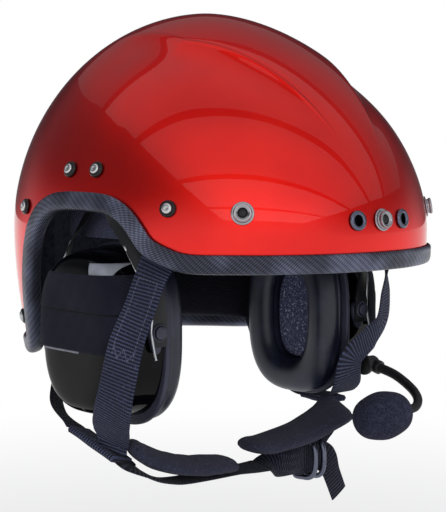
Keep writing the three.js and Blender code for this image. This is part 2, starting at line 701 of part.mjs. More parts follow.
// Neck roll along the inside of the nape, plump across its section.
const NECK_ROLL_END_SHARE = 0.3;
const NECK_ROLL_SECTION_SHARES = [
  [0.12, 0], [0.03, 0.35], [0.1, 0.8], [0.5, 1], [0.88, 0.75], [1, 0.3], [0.95, 0],
];
function buildNeckRoll() {
  const low = BROW_EDGE_Z - NAPE_DROP + FIT_GAP;
  const span = Math.PI - bearingAt(ARCH_REAR_Y + NECK_ROLL_SETBACK, low + NECK_ROLL_HEIGHT / 2);
  const rings = spread(-1, 1, 22).map((place) => {
    const bearing = Math.PI + place * span;
    const depth = NECK_ROLL_DEPTH * Math.max(NECK_ROLL_END_SHARE, Math.sqrt(1 - place ** 4));
    return NECK_ROLL_SECTION_SHARES.map(([rise, bulge]) => (
      levelPoint(bearing, low + rise * NECK_ROLL_HEIGHT, PAD_OUTER + bulge * depth)
    ));
  });
  return loft(rings);
}
add('neck_roll', buildNeckRoll(), linerCloth);

// Screws with cup washers. Carrier screws reach through the shell into the carrier.
for (const [name, place] of fastenerSpots) {
  const shank = name.startsWith('carrier') ? SHELL_WALL + WALL_GAP + CARRIER_THICKNESS : SHELL_WALL;
  const top = FIT_GAP + WASHER_HEIGHT;
  const profile = [
    [0, -shank],
    [SCREW_SHANK_R, -shank],
    [SCREW_SHANK_R, FIT_GAP],
    [WASHER_R, FIT_GAP],
    [WASHER_R * 0.9, FIT_GAP + WASHER_HEIGHT * 0.6],
    [SCREW_HEAD_R * 1.15, top],
    [SCREW_HEAD_R, top + SCREW_HEAD_RISE * 0.8],
    [SCREW_HEAD_R * 0.6, top + SCREW_HEAD_RISE],
    [0, top + SCREW_HEAD_RISE],
  ];
  add(name, turned(profile, place.point, place.normal, 8), darkSteel);
}

// Snap studs for a visor: each has a flat ring-shaped top round a socket.
for (const [name, place] of studSpots) {
  const profile = [
    [0, -SHELL_WALL],
    [SCREW_SHANK_R, -SHELL_WALL],
    [SCREW_SHANK_R, FIT_GAP],
    [STUD_BASE_R, FIT_GAP],
    [STUD_BASE_R * 0.94, FIT_GAP + STUD_BASE_HEIGHT],
    [STUD_NECK_R, FIT_GAP + STUD_BASE_HEIGHT],
    [STUD_NECK_R, STUD_HEIGHT * 0.55],
    [STUD_CAP_R, STUD_HEIGHT * 0.68],
    [STUD_CAP_R * 0.97, STUD_HEIGHT * 0.93],
    [STUD_CAP_R * 0.88, STUD_HEIGHT],
    [STUD_SOCKET_R, STUD_HEIGHT],
    [STUD_SOCKET_R, STUD_HEIGHT - STUD_SOCKET_DEPTH],
    [0, STUD_HEIGHT - STUD_SOCKET_DEPTH],
  ];
  add(name, turned(profile, place.point, place.normal, 14), brightSteel);
}

// Grommets that line two through holes at the brow.
for (const [name, place] of grommetSpots) {
  const profile = [
    [GROMMET_BORE_R, -SHELL_WALL],
    [GROMMET_SLEEVE_R, -SHELL_WALL],
    [GROMMET_SLEEVE_R, FIT_GAP],
    [GROMMET_R, FIT_GAP],
    [GROMMET_R * 0.95, GROMMET_LIP * 0.8],
    [GROMMET_R * 0.75, GROMMET_LIP + FIT_GAP],
    [GROMMET_BORE_R * 1.15, GROMMET_LIP],
    [GROMMET_BORE_R, GROMMET_LIP * 0.6],
    [GROMMET_BORE_R, -SHELL_WALL],
  ];
  add(name, turned(profile, place.point, place.normal, 12), darkSteel);
}

// Oval outlines of the ear cup, seen along X.
function oval(side, out, halfLength, halfHeight, steps, centreZ = CUP_Z) {
  const ring = [];
  for (let i = 0; i < steps; i++) {
    const angle = i / steps * Math.PI * 2;
    const c = Math.cos(angle);
    const s = Math.sin(angle);
    ring.push(at(
      side,
      out,
      CUP_Y + halfLength * Math.sign(c) * Math.abs(c) ** (2 / OVAL_POWER),
      centreZ + halfHeight * Math.sign(s) * Math.abs(s) ** (2 / OVAL_POWER),
    ));
  }
  return ring;
}
const CUP_RIM_OUT = CUP_FACE_OUT - CUP_DEPTH;
const BACKPLATE_Z = CUP_Z - BACKPLATE_DROP;
const BACKPLATE_OUT = CUP_RIM_OUT - FIT_GAP;
const CUSHION_BASE_OUT = BACKPLATE_OUT - BACKPLATE_THICKNESS - FIT_GAP;
const BACKPLATE_HALF_LENGTH = CUP_HALF_LENGTH + BACKPLATE_LIP;
const BACKPLATE_HALF_HEIGHT = CUP_HALF_HEIGHT + BACKPLATE_LIP + BACKPLATE_DROP;
const cupOut = (depthShare) => CUP_FACE_OUT - depthShare * CUP_DEPTH;

function cupBlank(side, gap) {
  return loft(CUP_PROFILE_SHARES.map(([size, depth]) => (
    oval(side, cupOut(depth) + gap, CUP_HALF_LENGTH * size + gap, CUP_HALF_HEIGHT * size + gap, 26)
  )));
}
function buildCupShell(side) {
  const steps = 26;
  const outside = CUP_PROFILE_SHARES.map(([size, depth]) => (
    oval(side, cupOut(depth), CUP_HALF_LENGTH * size, CUP_HALF_HEIGHT * size, steps)
  ));
  const inside = CUP_PROFILE_SHARES.filter((_, i) => i % 2 === 1).reverse().map(([size, depth]) => oval(
    side,
    Math.min(cupOut(depth), CUP_FACE_OUT) - (depth < 1 ? CUP_WALL : 0),
    CUP_HALF_LENGTH * size - CUP_WALL,
    CUP_HALF_HEIGHT * size - CUP_WALL,
    steps,
  ));
  return loft([...outside, ...inside]);
}

// A ring-shaped oval solid, swept round the ear with one section.
function ovalRing(side, section, steps) {
  const rings = section.map(([out, halfLength, halfHeight, centreZ]) => (
    oval(side, out, halfLength, halfHeight, steps, centreZ)
  ));
  return loft(rings, true);
}
function buildBackplate(side) {
  const back = BACKPLATE_OUT - BACKPLATE_THICKNESS;
  const hole = SPEAKER_R - BACKPLATE_LIP;
  const chamfer = BACKPLATE_LIP / 2;
  return ovalRing(side, [
    [BACKPLATE_OUT, hole, hole, CUP_Z],
    [BACKPLATE_OUT, BACKPLATE_HALF_LENGTH - chamfer, BACKPLATE_HALF_HEIGHT - chamfer, BACKPLATE_Z],
    [BACKPLATE_OUT - chamfer, BACKPLATE_HALF_LENGTH, BACKPLATE_HALF_HEIGHT, BACKPLATE_Z],
    [back, BACKPLATE_HALF_LENGTH, BACKPLATE_HALF_HEIGHT, BACKPLATE_Z],
    [back, hole, hole, CUP_Z],
  ], 26);
}
function buildCushion(side) {
  return ovalRing(side, CUSHION_SECTION_SHARES.map(([height, wide]) => [
    CUSHION_BASE_OUT - height * CUSHION_DEPTH,
    lerp(EAR_OPENING_HALF_LENGTH, CUSHION_HALF_LENGTH, wide),
    lerp(EAR_OPENING_HALF_HEIGHT, CUSHION_HALF_HEIGHT, wide),
    BACKPLATE_Z,
  ]), 26);
}
function buildFoamInsert(side) {
  const halfLength = EAR_OPENING_HALF_LENGTH - FIT_GAP;
  const halfHeight = EAR_OPENING_HALF_HEIGHT - FIT_GAP;
  const face = CUSHION_BASE_OUT - FOAM_INSERT_THICKNESS;
  return loft([
    oval(side, CUSHION_BASE_OUT, halfLength, halfHeight, 24, BACKPLATE_Z),
    oval(side, face + FOAM_INSERT_THICKNESS * 0.3, halfLength, halfHeight, 24, BACKPLATE_Z),
    oval(side, face, halfLength * 0.8, halfHeight * 0.85, 24, BACKPLATE_Z),
  ]);
}
function buildSpeaker(side) {
  const origin = at(side, CUP_RIM_OUT, CUP_Y, CUP_Z);
  return turned([
    [0, 0],
    [SPEAKER_R, 0],
    [SPEAKER_R, SPEAKER_DEPTH * 0.3],
    [SPEAKER_R * 0.62, SPEAKER_DEPTH * 0.5],
    [SPEAKER_R * 0.62, SPEAKER_DEPTH],
    [0, SPEAKER_DEPTH],
  ], origin, new THREE.Vector3(side, 0, 0), 20);
}

// Elastic cloth band over the outer face of the cup, following its surface at each height.
const BAND_COLUMN_SHARES = [0.3, 0.55, 0.7, 0.8, 0.87, 0.92, 0.95];
function cupProfile(size) {
  const rows = [[0, 0], ...CUP_PROFILE_SHARES];
  const next = Math.max(1, rows.findIndex(([rowSize]) => rowSize >= size));
  const [[sizeA, depthA], [sizeB, depthB]] = [rows[next - 1], rows[next]];
  const depth = lerp(depthA, depthB, (size - sizeA) / (sizeB - sizeA));
  const lean = Math.atan2((depthB - depthA) * CUP_DEPTH, (sizeB - sizeA) * CUP_HALF_LENGTH);
  return { depth, lean };
}
function buildBand(side) {
  const heights = spread(BAND_BOTTOM_SHARE, BAND_TOP_SHARE, 5);
  const layer = (lift) => heights.map((height) => {
    const row = (column) => {
      const reach = Math.abs(column) * (1 - Math.abs(height) ** OVAL_POWER) ** (1 / OVAL_POWER);
      const size = (reach ** OVAL_POWER + Math.abs(height) ** OVAL_POWER) ** (1 / OVAL_POWER);
      const { depth, lean } = cupProfile(size);
      return at(
        side,
        cupOut(depth) + lift * Math.cos(lean),
        CUP_Y + Math.sign(column) * (reach * CUP_HALF_LENGTH + lift * Math.sin(lean)),
        CUP_Z + height * CUP_HALF_HEIGHT,
      );
    };
    return [...BAND_COLUMN_SHARES.map((column) => -column).reverse(), 0, ...BAND_COLUMN_SHARES].map(row);
  });
  return slab(layer(BAND_LIFT + BAND_THICKNESS), layer(BAND_LIFT));
}

// Teardrop pivot plate on the cup wall, with the pin and its button.
const PIVOT_WALL_SHARE = 0.99;
const pivotFace = CUP_HALF_LENGTH * PIVOT_WALL_SHARE + PIVOT_SIDE_GAP;
const legPlane = pivotFace + PIVOT_PLATE_THICKNESS + PIVOT_SIDE_GAP;
const pivotHeadStart = legPlane + LEG_THICKNESS + PIVOT_SIDE_GAP;
function buildPivot(side, forward) {
  const outline = new THREE.Shape();
  const tailR = PIVOT_PLATE_R * 0.45;
  const tailZ = -(PIVOT_PLATE_HEIGHT - PIVOT_PLATE_R - tailR);
  outline.absarc(0, 0, PIVOT_PLATE_R, -0.25, Math.PI + 0.25, false);
  outline.absarc(0, tailZ, tailR, Math.PI + 0.25, Math.PI * 2 - 0.25, false);
  const plate = new THREE.ExtrudeGeometry(outline, {
    depth: PIVOT_PLATE_THICKNESS,
    bevelEnabled: false,
    curveSegments: 4,
  });
  plate.rotateX(Math.PI / 2);
  const start = CUP_Y + forward * pivotFace;
  const end = start + forward * PIVOT_PLATE_THICKNESS;
  plate.translate(side * PIVOT_OUT, Math.max(start, end), PIVOT_Z);
  const centre = (y) => at(side, PIVOT_OUT, CUP_Y + forward * y, PIVOT_Z);
  const pinStart = pivotFace + PIVOT_PLATE_THICKNESS / 2;
  return join([
    plate,
    rod(centre(pinStart), centre(pivotHeadStart + PIVOT_SIDE_GAP), PIVOT_PIN_R, 10),
    rod(centre(pivotHeadStart), centre(pivotHeadStart + PIVOT_HEAD_HEIGHT), PIVOT_HEAD_R, 12),
  ]);
}

// Forked yoke: a hub with two flat legs that run down in front of and behind the cup.
const LEG_ROUTE_SHARES = [
  [0, 0, 0.02], [0.2, 0.13, 0.17], [0.42, 0.62, 0.4], [0.76, 0.96, 0.68], [1, 1, 0.88], [1, 1, 1.1],
];
const LEG_TWIST_SHARES = [[0, 1], [0.3, 0.95], [0.62, 0.78], [0.93, 0.37], [1, 0], [1, 0]];
function buildYoke(side) {
  const hubEnd = HUB_LENGTH / 2;
  const onAxis = (along) => at(side, HUB_OUT, HUB_Y + along, HUB_Z);
  const barrel = rod(onAxis(-hubEnd), onAxis(hubEnd), HUB_R, 12);
  const trunnionEnd = hubEnd + LUG_GAP + LUG_THICKNESS;
  const trunnion = rod(onAxis(-trunnionEnd), onAxis(trunnionEnd), TRUNNION_R, 10);
  const legs = [-1, 1].map((forward) => {
    const foot = CUP_Y + forward * (legPlane + LEG_THICKNESS / 2);
    const top = HUB_Y + forward * LEG_WIDTH / 2;
    const points = LEG_ROUTE_SHARES.map(([inwards, along, down]) => at(
      side,
      lerp(HUB_OUT, PIVOT_OUT, inwards),
      lerp(top, foot, along),
      lerp(HUB_Z, PIVOT_Z, down),
    ));
    const widths = LEG_TWIST_SHARES.map(([out, y]) => new THREE.Vector3(side * out, -forward * y, 0));
    const leg = strip(points, widths, LEG_WIDTH, LEG_THICKNESS, 12);
    const pinHole = rod(
      at(side, PIVOT_OUT, foot - LEG_WIDTH / 2, PIVOT_Z),
      at(side, PIVOT_OUT, foot + LEG_WIDTH / 2, PIVOT_Z),
      PIVOT_PIN_R + PIVOT_PIN_GAP,
      10,
    );
    return cut(leg, [pinHole]);
  });
  return join([barrel, trunnion, ...legs]);
}

// Carrier plate inside the shell, with two lugs for the yoke's trunnions.
function buildCarrier(side) {
  const heights = spread(CARRIER_SCREW_Z - CARRIER_HEIGHT / 2, CARRIER_SCREW_Z + CARRIER_HEIGHT / 2, 2);
  const bearings = spread(-1, 1, 4).map((share) => (
    side * bearingAt(HUB_Y + share * CARRIER_LENGTH / 2, CARRIER_SCREW_Z)
  ));
  const outer = SHELL_WALL + WALL_GAP;
  const plate = liningPanel(bearings, heights, () => outer, () => outer + CARRIER_THICKNESS);
  const lugs = [-1, 1].map((forward) => {
    const inner = HUB_LENGTH / 2 + LUG_GAP;
    const y0 = HUB_Y + forward * inner;
    const y1 = HUB_Y + forward * (inner + LUG_THICKNESS);
    const wall = spot(side, y0, HUB_Z + LUG_HALF_HEIGHT).point.x * side - outer - CARRIER_THICKNESS / 2;
    return orderedBox(
      at(side, HUB_OUT - LUG_HALF_HEIGHT, y0, HUB_Z - LUG_HALF_HEIGHT),
      at(side, wall - CARRIER_THICKNESS / 2, y1, HUB_Z + CARRIER_HEIGHT / 2),
    );
  });
  const bore = rod(
    at(side, HUB_OUT, HUB_Y - HUB_LENGTH, HUB_Z),
    at(side, HUB_OUT, HUB_Y + HUB_LENGTH, HUB_Z),
    TRUNNION_R + TRUNNION_GAP,
    10,
  );
  const screwHoles = fastenerSpots
    .filter(([name, place]) => name.startsWith('carrier') && Math.sign(place.point.x) === side)
    .map(([, place]) => holeTool(place, SCREW_HOLE_R, 3 * SHELL_WALL + CARRIER_THICKNESS));
  return cut(join([plate, ...lugs]), [bore, ...screwHoles]);
}

// Places around the ear cups, as shares of the cup's outward reach, half length and half height.
function cupPlace(side, outShare, lengthShare, heightShare) {
  return at(
    side,
    CUP_FACE_OUT * outShare,
    CUP_Y + CUP_HALF_LENGTH * lengthShare,
    CUP_Z + CUP_HALF_HEIGHT * heightShare,
  );
}
const flat = (x, y, z = 0) => new THREE.Vector3(x, y, z);

// The same, but at a depth inside the shell's wall or its continuation below the edge.
function wallPlace(side, depth, lengthShare, heightShare) {
  const place = cupPlace(side, 1, lengthShare, heightShare);
  const wall = spot(side, place.y, place.z).point;
  return flat(wall.x - side * depth, place.y, place.z);
}
const routePoints = (side, rows) => rows.map(([out, length, height]) => cupPlace(side, out, length, height));
const routeWidths = (side, rows) => rows.map(([, , , x, y, z]) => flat(side * x, y, z));
const shellTangent = (side, { normal }) => flat(-normal.y, normal.x).multiplyScalar(side);

// Routes of the webbing: place shares, then the direction across the webbing.
// The front straps give their depth from the cup's outward face as a share of the cup's depth.
const FRONT_STRAP_SHARES = {
  right: [
    [0.567, -1.558, 1.135, 0.45, 0.89, 0], [0.491, -1.449, 0.942, 0.3, 0.95, 0],
    [0.365, -1.37, 0.712, 0.15, 0.99, 0], [0.182, -1.325, 0.385, 0.15, 0.99, 0],
    [-0.01, -1.235, 0, 0.25, 0.97, 0], [-0.089, -1.145, -0.38, 0.27, 0.96, 0],
    [-0.093, -1.04, -0.67, 0.25, 0.97, 0],
    [0.033, -0.835, -0.92, 0.1, 1, 0], [0.215, -0.63, -1.1, -0.15, 0.98, 0],
    [0.295, -0.56, -1.19, -0.35, 0.93, 0], [0.321, -0.54, -1.285, -0.4, 0.92, 0],
  ],
  left: [
    [0.567, -1.558, 1.135, 0.45, 0.89, 0], [0.491, -1.449, 0.942, 0.5, 0.86, 0],
    [0.421, -1.376, 0.673, 0.65, 0.76, 0], [0.401, -1.351, 0.288, 0.88, 0.47, 0],
    [0.437, -1.302, -0.096, 0.93, 0.35, 0], [0.713, -1.254, -0.308, 1, 0.1, 0],
    [1.12, -1.166, -0.558, 1, 0, 0], [1.11, -1.065, -0.827, 1, 0, 0], [0.901, -0.815, -1.019, 1, 0, 0],
    [0.756, -0.424, -1.118, 1, 0, 0],
  ],
};
// The rear strap's first two places: depth inside the wall as a share of the strap's width, then as above.
const REAR_STRAP_WALL_SHARES = [
  [0.4755, 1.405, -0.385, -0.5, 0.85, 0], [0.4077, 1.21, -0.673, -0.65, 0.65, -0.3],
];
const REAR_STRAP_SHARES = {
  right: [
    [0.871, 0.917, -0.981, -0.8, 0.15, -0.57], [0.892, 0.429, -1.127, -0.95, 0, -0.4],
    [0.897, 0.342, -1.157, -1, 0, -0.35],
  ],
  left: [
    [0.862, 0.917, -0.981, -0.8, 0.15, -0.57], [0.853, 0.38, -1.183, -0.95, 0, -0.2],
    [0.847, 0.255, -1.2, -1, 0, 0],
  ],
};
const JUNCTION_SHARES = {
  right: [
    [0.897, 0.29, -1.173, 1, 0, 0.35], [0.884, -0.18, -1.29, 1, 0, 0.35],
    [0.869, -0.624, -1.414, 1, 0, 0.35],
  ],
  left: [[0.845, 0.215, -1.204, 1, 0, 0], [0.815, -0.132, -1.198, 1, 0, 0], [0.78, -0.485, -1.192, 1, 0, 0]],
};
const CHIN_PAD_SHARES = {
  right: [
    [-0.841, -0.68, -1.21, 0, 0.9, 0.4], [-0.784, -0.78, -1.335, 0, 0.93, 0.35],
    [-0.681, -0.937, -1.454, 0, 0.97, 0.25], [-0.529, -1.034, -1.538, 0, 1, 0.15],
    [-0.405, -1.059, -1.567, 0, 1, 0.1], [-0.319, -1.041, -1.588, 0, 1, 0.05],
    [-0.276, -1.034, -1.602, 0, 1, 0],
  ],
  left: [
    [0.752, -0.546, -1.26, 0, 0.85, 0.5], [0.66, -0.82, -1.27, 0, 0.85, 0.5],
    [0.585, -0.89, -1.29, 0, 0.87, 0.45],
    [0.478, -0.937, -1.35, 0, 0.9, 0.4], [0.31, -0.985, -1.425, 0, 0.95, 0.3],
    [0.161, -1.01, -1.455, 0, 0.97, 0.2], [0, -0.985, -1.48, 0, 1, 0.1],
    [-0.126, -0.961, -1.45, 0, 1, 0],
  ],
};
const CHIN_STRAP_SHARES = [
  [-0.866, -0.65, -1.422, 1, 0, -0.35], [-0.862, -0.75, -1.46, 1, 0.05, -0.35],
  [-0.793, -0.88, -1.565, 0.7, 0.6, -0.25], [-0.716, -0.935, -1.65, 0.4, 0.9, -0.1],
  [-0.638, -0.985, -1.685, 0, 1, 0], [-0.491, -1.034, -1.695, 0, 1, 0],
  [-0.362, -1.034, -1.702, 0, 1, 0], [-0.241, -1.034, -1.708, 0, 1, 0],
  [-0.103, -1.022, -1.724, 0, 1, 0.1], [-0.013, -1.01, -1.731, 0, 1, 0.15],
];
const RING_STRAP_SHARES = [
  [0.784, -0.24, -1.33, 0.1, 1, 0.1], [0.741, -0.376, -1.41, 0.2, 0.8, 0.4],
  [0.655, -0.51, -1.538, 0.3, 0.4, 0.8], [0.552, -0.607, -1.692, 0.2, 0.1, 1],
];

// Front webbing: screwed inside the shell, hangs past the cup to the sewn patch below it.
function buildFrontStrap(name, side) {
  const anchor = spot(side, FRONT_SCREW_Y, FRONT_SCREW_Z);
  const depth = SHELL_WALL + WALL_GAP + WEB_THICKNESS;
  const rows = FRONT_STRAP_SHARES[name];
  const route = rows.map(([inset, length, height]) => (
    cupPlace(side, cupOut(inset) / CUP_FACE_OUT, length, height)
  ));
  const points = [
    levelPoint(anchor.bearing, FRONT_SCREW_Z + WEB_WIDTH / 3, depth),
    levelPoint(anchor.bearing, FRONT_SCREW_Z - WEB_WIDTH / 3, depth + 2.5 * WEB_THICKNESS),
    ...route,
  ];
  const tangent = shellTangent(side, anchor);
  return strip(points, [tangent, tangent, ...routeWidths(side, rows)], WEB_WIDTH, WEB_THICKNESS, 22);
}

// Rear webbing: screwed inside the nape, runs under the cup to the same patch.
function buildRearStrap(name, side) {
  const anchor = spot(side, NAPE_SCREW_Y, NAPE_SCREW_Z);
  const depth = SHELL_WALL + TRIM_GAP + TRIM_INNER + 2 * WEB_THICKNESS;
  const rows = REAR_STRAP_SHARES[name];
  const wallRows = REAR_STRAP_WALL_SHARES;
  const points = [
    levelPoint(anchor.bearing, NAPE_SCREW_Z + REAR_WEB_WIDTH / 3, depth - 2 * WEB_THICKNESS),
    levelPoint(anchor.bearing, NAPE_SCREW_Z - REAR_WEB_WIDTH / 3, depth),
    ...wallRows.map(([inset, length, height]) => wallPlace(side, inset * REAR_WEB_WIDTH, length, height)),
    ...routePoints(side, rows),
  ];
  const tangent = shellTangent(side, anchor);
  const widths = [tangent, tangent, ...routeWidths(side, [...wallRows, ...rows])];
  return strip(points, widths, REAR_WEB_WIDTH, WEB_THICKNESS, 20);
}

// Sewn patch where the webbing meets below the cup.
function buildJunction(name, side) {
  const rows = JUNCTION_SHARES[name];
  return strip(routePoints(side, rows), routeWidths(side, rows), CHIN_WEB_WIDTH, JUNCTION_THICKNESS, 6);
}
function buildChinPad(name) {
  const rows = CHIN_PAD_SHARES[name];
  return paddedStrip(routePoints(1, rows), routeWidths(1, rows), CHIN_PAD_WIDTH, CHIN_PAD_THICKNESS, 14);
}

// Chin strap from the right patch, under the pad to the gathered end.
function buildChinStrap() {
  return strip(
    routePoints(1, CHIN_STRAP_SHARES),
    routeWidths(1, CHIN_STRAP_SHARES),
    CHIN_WEB_WIDTH,
    WEB_THICKNESS,
    28,
  );
}

// Gathered end of the chin strap: it bunches up, flattens to pass through both rings and hangs down loose.
const strapY = RING_BAR_Y - RING_DEPTH * 0.55;
const GATHER_SHARES = [
  [-2.35, 0.1, 0.15, 0.95, 1.1, 1], [-2, 0.1, 0.13, 0.85, 2.6, 0.55],
  [-1.6, 0.11, 0.08, 0.85, 5.4, 0.2], [-1.2, 0.1, 0.05, 0.85, 5.6, 0],
  [-0.8, 0.05, 0.04, 0.9, 4, 0], [-0.4, 0, 0, 1, 1.4, 0], [0, 0, 0, 1, 1, 0],
  [0.5, 0, 0, 1, 1, 0],
];
const TAIL_SHARES = [
  [0.76, 0.06, -0.22, 0.5, 0.1, 0.85], [0.95, 0.12, -0.72, 0.85, 0.25, 0.5],
  [1.175, 0.205, -1.35, 0.9, 0.26, 0.4],
];
function buildGather() {
  const ringEnd = RING_X + RING_PITCH / 2;
  const place = (x, y, z) => flat(
    ringEnd + x * CHIN_WEB_WIDTH,
    strapY - y * CHIN_WEB_WIDTH,
    RING_Z + z * CHIN_WEB_WIDTH,
  );
  const points = [...GATHER_SHARES, ...TAIL_SHARES].map(([x, y, z]) => place(x, y, z));
  const widths = [
    ...GATHER_SHARES.map(([, , , , , level]) => flat(0, level, 1.1 - level)),
    ...TAIL_SHARES.map(([, , , x, y, z]) => flat(x, y, z)),
  ];
  const sizes = [
    ...GATHER_SHARES.map(([, , , height, bulk]) => [height * CHIN_WEB_WIDTH, bulk * WEB_THICKNESS]),
    ...TAIL_SHARES.map(() => [CHIN_WEB_WIDTH, WEB_THICKNESS]),
  ];
  return sweep(points, widths, sizes, 30, OVAL_SECTION);
}

// Short strap from the left patch, folded round the bars of both rings.
function buildRingStrap() {
  const wrap = RING_WIRE_R + FIT_GAP + WEB_THICKNESS / 2;
  const bend = [[0, 1], [-0.75, 0.7], [-1.05, 0], [-0.75, -0.7], [0, -1]].map(([x, y]) => (
    flat(RING_X + x * wrap, RING_BAR_Y + y * wrap, RING_Z)
  ));
  const points = [
    ...routePoints(1, RING_STRAP_SHARES),
    flat(RING_X + RING_PITCH, RING_BAR_Y + wrap, RING_Z),
    ...bend,
    flat(RING_X + RING_PITCH + RING_WIRE_R, RING_BAR_Y - wrap, RING_Z),
  ];
  const upright = points.slice(RING_STRAP_SHARES.length).map(() => flat(0, 0, 1));
  return strip(points, [...routeWidths(1, RING_STRAP_SHARES), ...upright], CHIN_WEB_WIDTH, WEB_THICKNESS, 40);
}

// D-shaped ring: an upright bar with a bow in front of it.
function buildRing(x) {
  const straight = RING_HALF_HEIGHT;
  const corner = RING_DEPTH * 0.55;
  const outline = new THREE.Shape();
  outline.moveTo(0, -straight);
  outline.lineTo(0, straight);
  outline.lineTo(-RING_DEPTH + corner, straight);
  outline.quadraticCurveTo(-RING_DEPTH, straight, -RING_DEPTH, straight - corner);
  outline.lineTo(-RING_DEPTH, -straight + corner);
  outline.quadraticCurveTo(-RING_DEPTH, -straight, -RING_DEPTH + corner, -straight);
  outline.closePath();
  const path = outline.getPoints(4).slice(0, -1);
  const unique = path.filter((p, i) => i === 0 || p.distanceTo(path[i - 1]) > FIT_GAP);
  const rings = unique.map((p, i) => {
    const next = unique[(i + 1) % unique.length];
    const last = unique[(i + unique.length - 1) % unique.length];
    const after = next.clone().sub(p).normalize();
    const before = p.clone().sub(last).normalize();
    const mitre = new THREE.Vector2(after.y + before.y, -after.x - before.x).normalize();
    const stretch = 1 / Math.max(0.7, mitre.x * after.y - mitre.y * after.x);
    return Array.from({ length: 8 }, (_, k) => {
      const angle = k / 8 * Math.PI * 2;
      const sideways = Math.cos(angle) * RING_WIRE_R * stretch;
      return flat(
        x + Math.sin(angle) * RING_WIRE_R,
        RING_BAR_Y + p.x + mitre.x * sideways,
        RING_Z + p.y + mitre.y * sideways,
      );
    });
  });
  return loft(rings, true);
}

// Boom microphone on the left cup. The knuckle turns on the base about a sideways axis.
const knuckleOut = BOOM_OUT + FIT_GAP;
const BOOM_SHARES = [
  [0.905, -1.488, -0.792], [0.888, -1.793, -0.881], [0.853, -2.051, -0.965], [0.802, -2.224, -1.035],
  [0.746, -2.285, -1.092], [0.659, -2.202, -1.121],
];
const boomPoints = routePoints(1, BOOM_SHARES);
const boomEnd = boomPoints[boomPoints.length - 1];
const boomAxis = boomEnd.clone().sub(boomPoints[boomPoints.length - 2]).normalize();
function buildBoomBase() {
  const inner = BOOM_OUT - BOOM_BASE_THICKNESS;
  const disc = rod(at(1, inner, BOOM_Y, BOOM_Z), at(1, BOOM_OUT, BOOM_Y, BOOM_Z), BOOM_BASE_R, 20);
  const foot = orderedBox(
    at(1, inner, BOOM_Y, BOOM_Z - BOOM_FOOT_HEIGHT / 2),
    at(1, BOOM_OUT, CUP_Y - CUP_HALF_LENGTH * 0.75, BOOM_Z + BOOM_FOOT_HEIGHT / 2),
  );
  return cut(join([disc, foot]), [cupBlank(1, FIT_GAP)]);
}
function buildBoom() {
  const centre = (out) => at(1, out, BOOM_Y, BOOM_Z);
  const knuckle = rod(centre(knuckleOut), centre(knuckleOut + KNUCKLE_THICKNESS), KNUCKLE_R, 20);
  const start = centre(knuckleOut + KNUCKLE_THICKNESS / 2);
  const heading = boomPoints[0].clone().sub(start).normalize();
  const collarEnd = start.clone().addScaledVector(heading, KNUCKLE_R + BOOM_COLLAR_LENGTH);
  const collar = rod(start, collarEnd, BOOM_COLLAR_R, 14);
  const circle = new THREE.Shape();
  circle.absarc(0, 0, BOOM_R, 0, Math.PI * 2, false);
  const tube = new THREE.ExtrudeGeometry(circle, {
    steps: 16,
    bevelEnabled: false,
    curveSegments: 5,
    extrudePath: new THREE.CatmullRomCurve3([start.clone().lerp(boomPoints[0], 0.3), ...boomPoints]),
  });
  return join([knuckle, collar, tube]);
}
function buildMicrophone() {
  const start = boomEnd.clone().addScaledVector(boomAxis, FIT_GAP);
  return turned([
    [0, 0],
    [MIC_R * 0.8, 0],
    [MIC_R, MIC_LENGTH * 0.15],
    [MIC_R, MIC_LENGTH],
    [0, MIC_LENGTH],
  ], start, boomAxis, 16);
}

// Foam windscreen: an egg with a pocket that holds the microphone.
function buildWindscreen() {
  const pocket = MIC_R + WINDSCREEN_POCKET_GAP;
  const mouth = BOOM_R + WINDSCREEN_POCKET_GAP;
  const start = boomEnd.clone().addScaledVector(boomAxis, -2 * BOOM_R);
  const length = 2 * WINDSCREEN_HALF_LENGTH;
  const outline = [];
  for (let i = 1; i <= 11; i++) {
    const angle = i / 11 * Math.PI;
    outline.push([WINDSCREEN_R * Math.sin(angle) ** 0.8, WINDSCREEN_HALF_LENGTH * (1 - Math.cos(angle))]);
  }
  const front = outline.filter(([radius, height]) => (
    height > FIT_GAP && (radius > pocket || height > length / 2)
  ));
  front[front.length - 1] = [0, length];
  const pocketStart = 2 * BOOM_R - FIT_GAP;
  const pocketEnd = 2 * BOOM_R + FIT_GAP + MIC_LENGTH + WINDSCREEN_POCKET_GAP;
  return turned([
    [0, pocketEnd],
    [pocket, pocketEnd],
    [pocket, pocketStart],
    [mouth, pocketStart],
    [mouth, FIT_GAP],
    ...front,
  ], start, boomAxis, 16);
}

for (const [name, side] of SIDES) {
  add(`cup_carrier_${name}`, buildCarrier(side), darkSteel);
  add(`yoke_${name}`, buildYoke(side), mattBlack);
  add(`cup_shell_${name}`, buildCupShell(side), glossBlack);
  add(`backplate_${name}`, buildBackplate(side), mattBlack);
  add(`ear_cushion_${name}`, buildCushion(side), leatherette);
  add(`foam_insert_${name}`, buildFoamInsert(side), foamBlack);
  add(`speaker_${name}`, buildSpeaker(side), darkSteel);
  add(`cup_band_${name}`, buildBand(side), bandCloth);
  add(`pivot_front_${name}`, buildPivot(side, -1), mattBlack);
  add(`pivot_rear_${name}`, buildPivot(side, 1), mattBlack);
  add(`front_strap_${name}`, buildFrontStrap(name, side), webbingNavy);
  add(`rear_strap_${name}`, buildRearStrap(name, side), webbingNavy);
  add(`strap_junction_${name}`, buildJunction(name, side), webbingNavy);
  add(`chin_pad_${name}`, buildChinPad(name), linerCloth);
}
add('chin_strap', buildChinStrap(), webbingNavy);
add('ring_strap', buildRingStrap(), webbingNavy);
add('strap_gather', buildGather(), webbingNavy);
add('d_ring_inner', buildRing(RING_X), darkSteel);
add('d_ring_outer', buildRing(RING_X + RING_PITCH), darkSteel);
add('boom_base', buildBoomBase(), mattBlack);
add('mic_boom', buildBoom(), mattBlack);
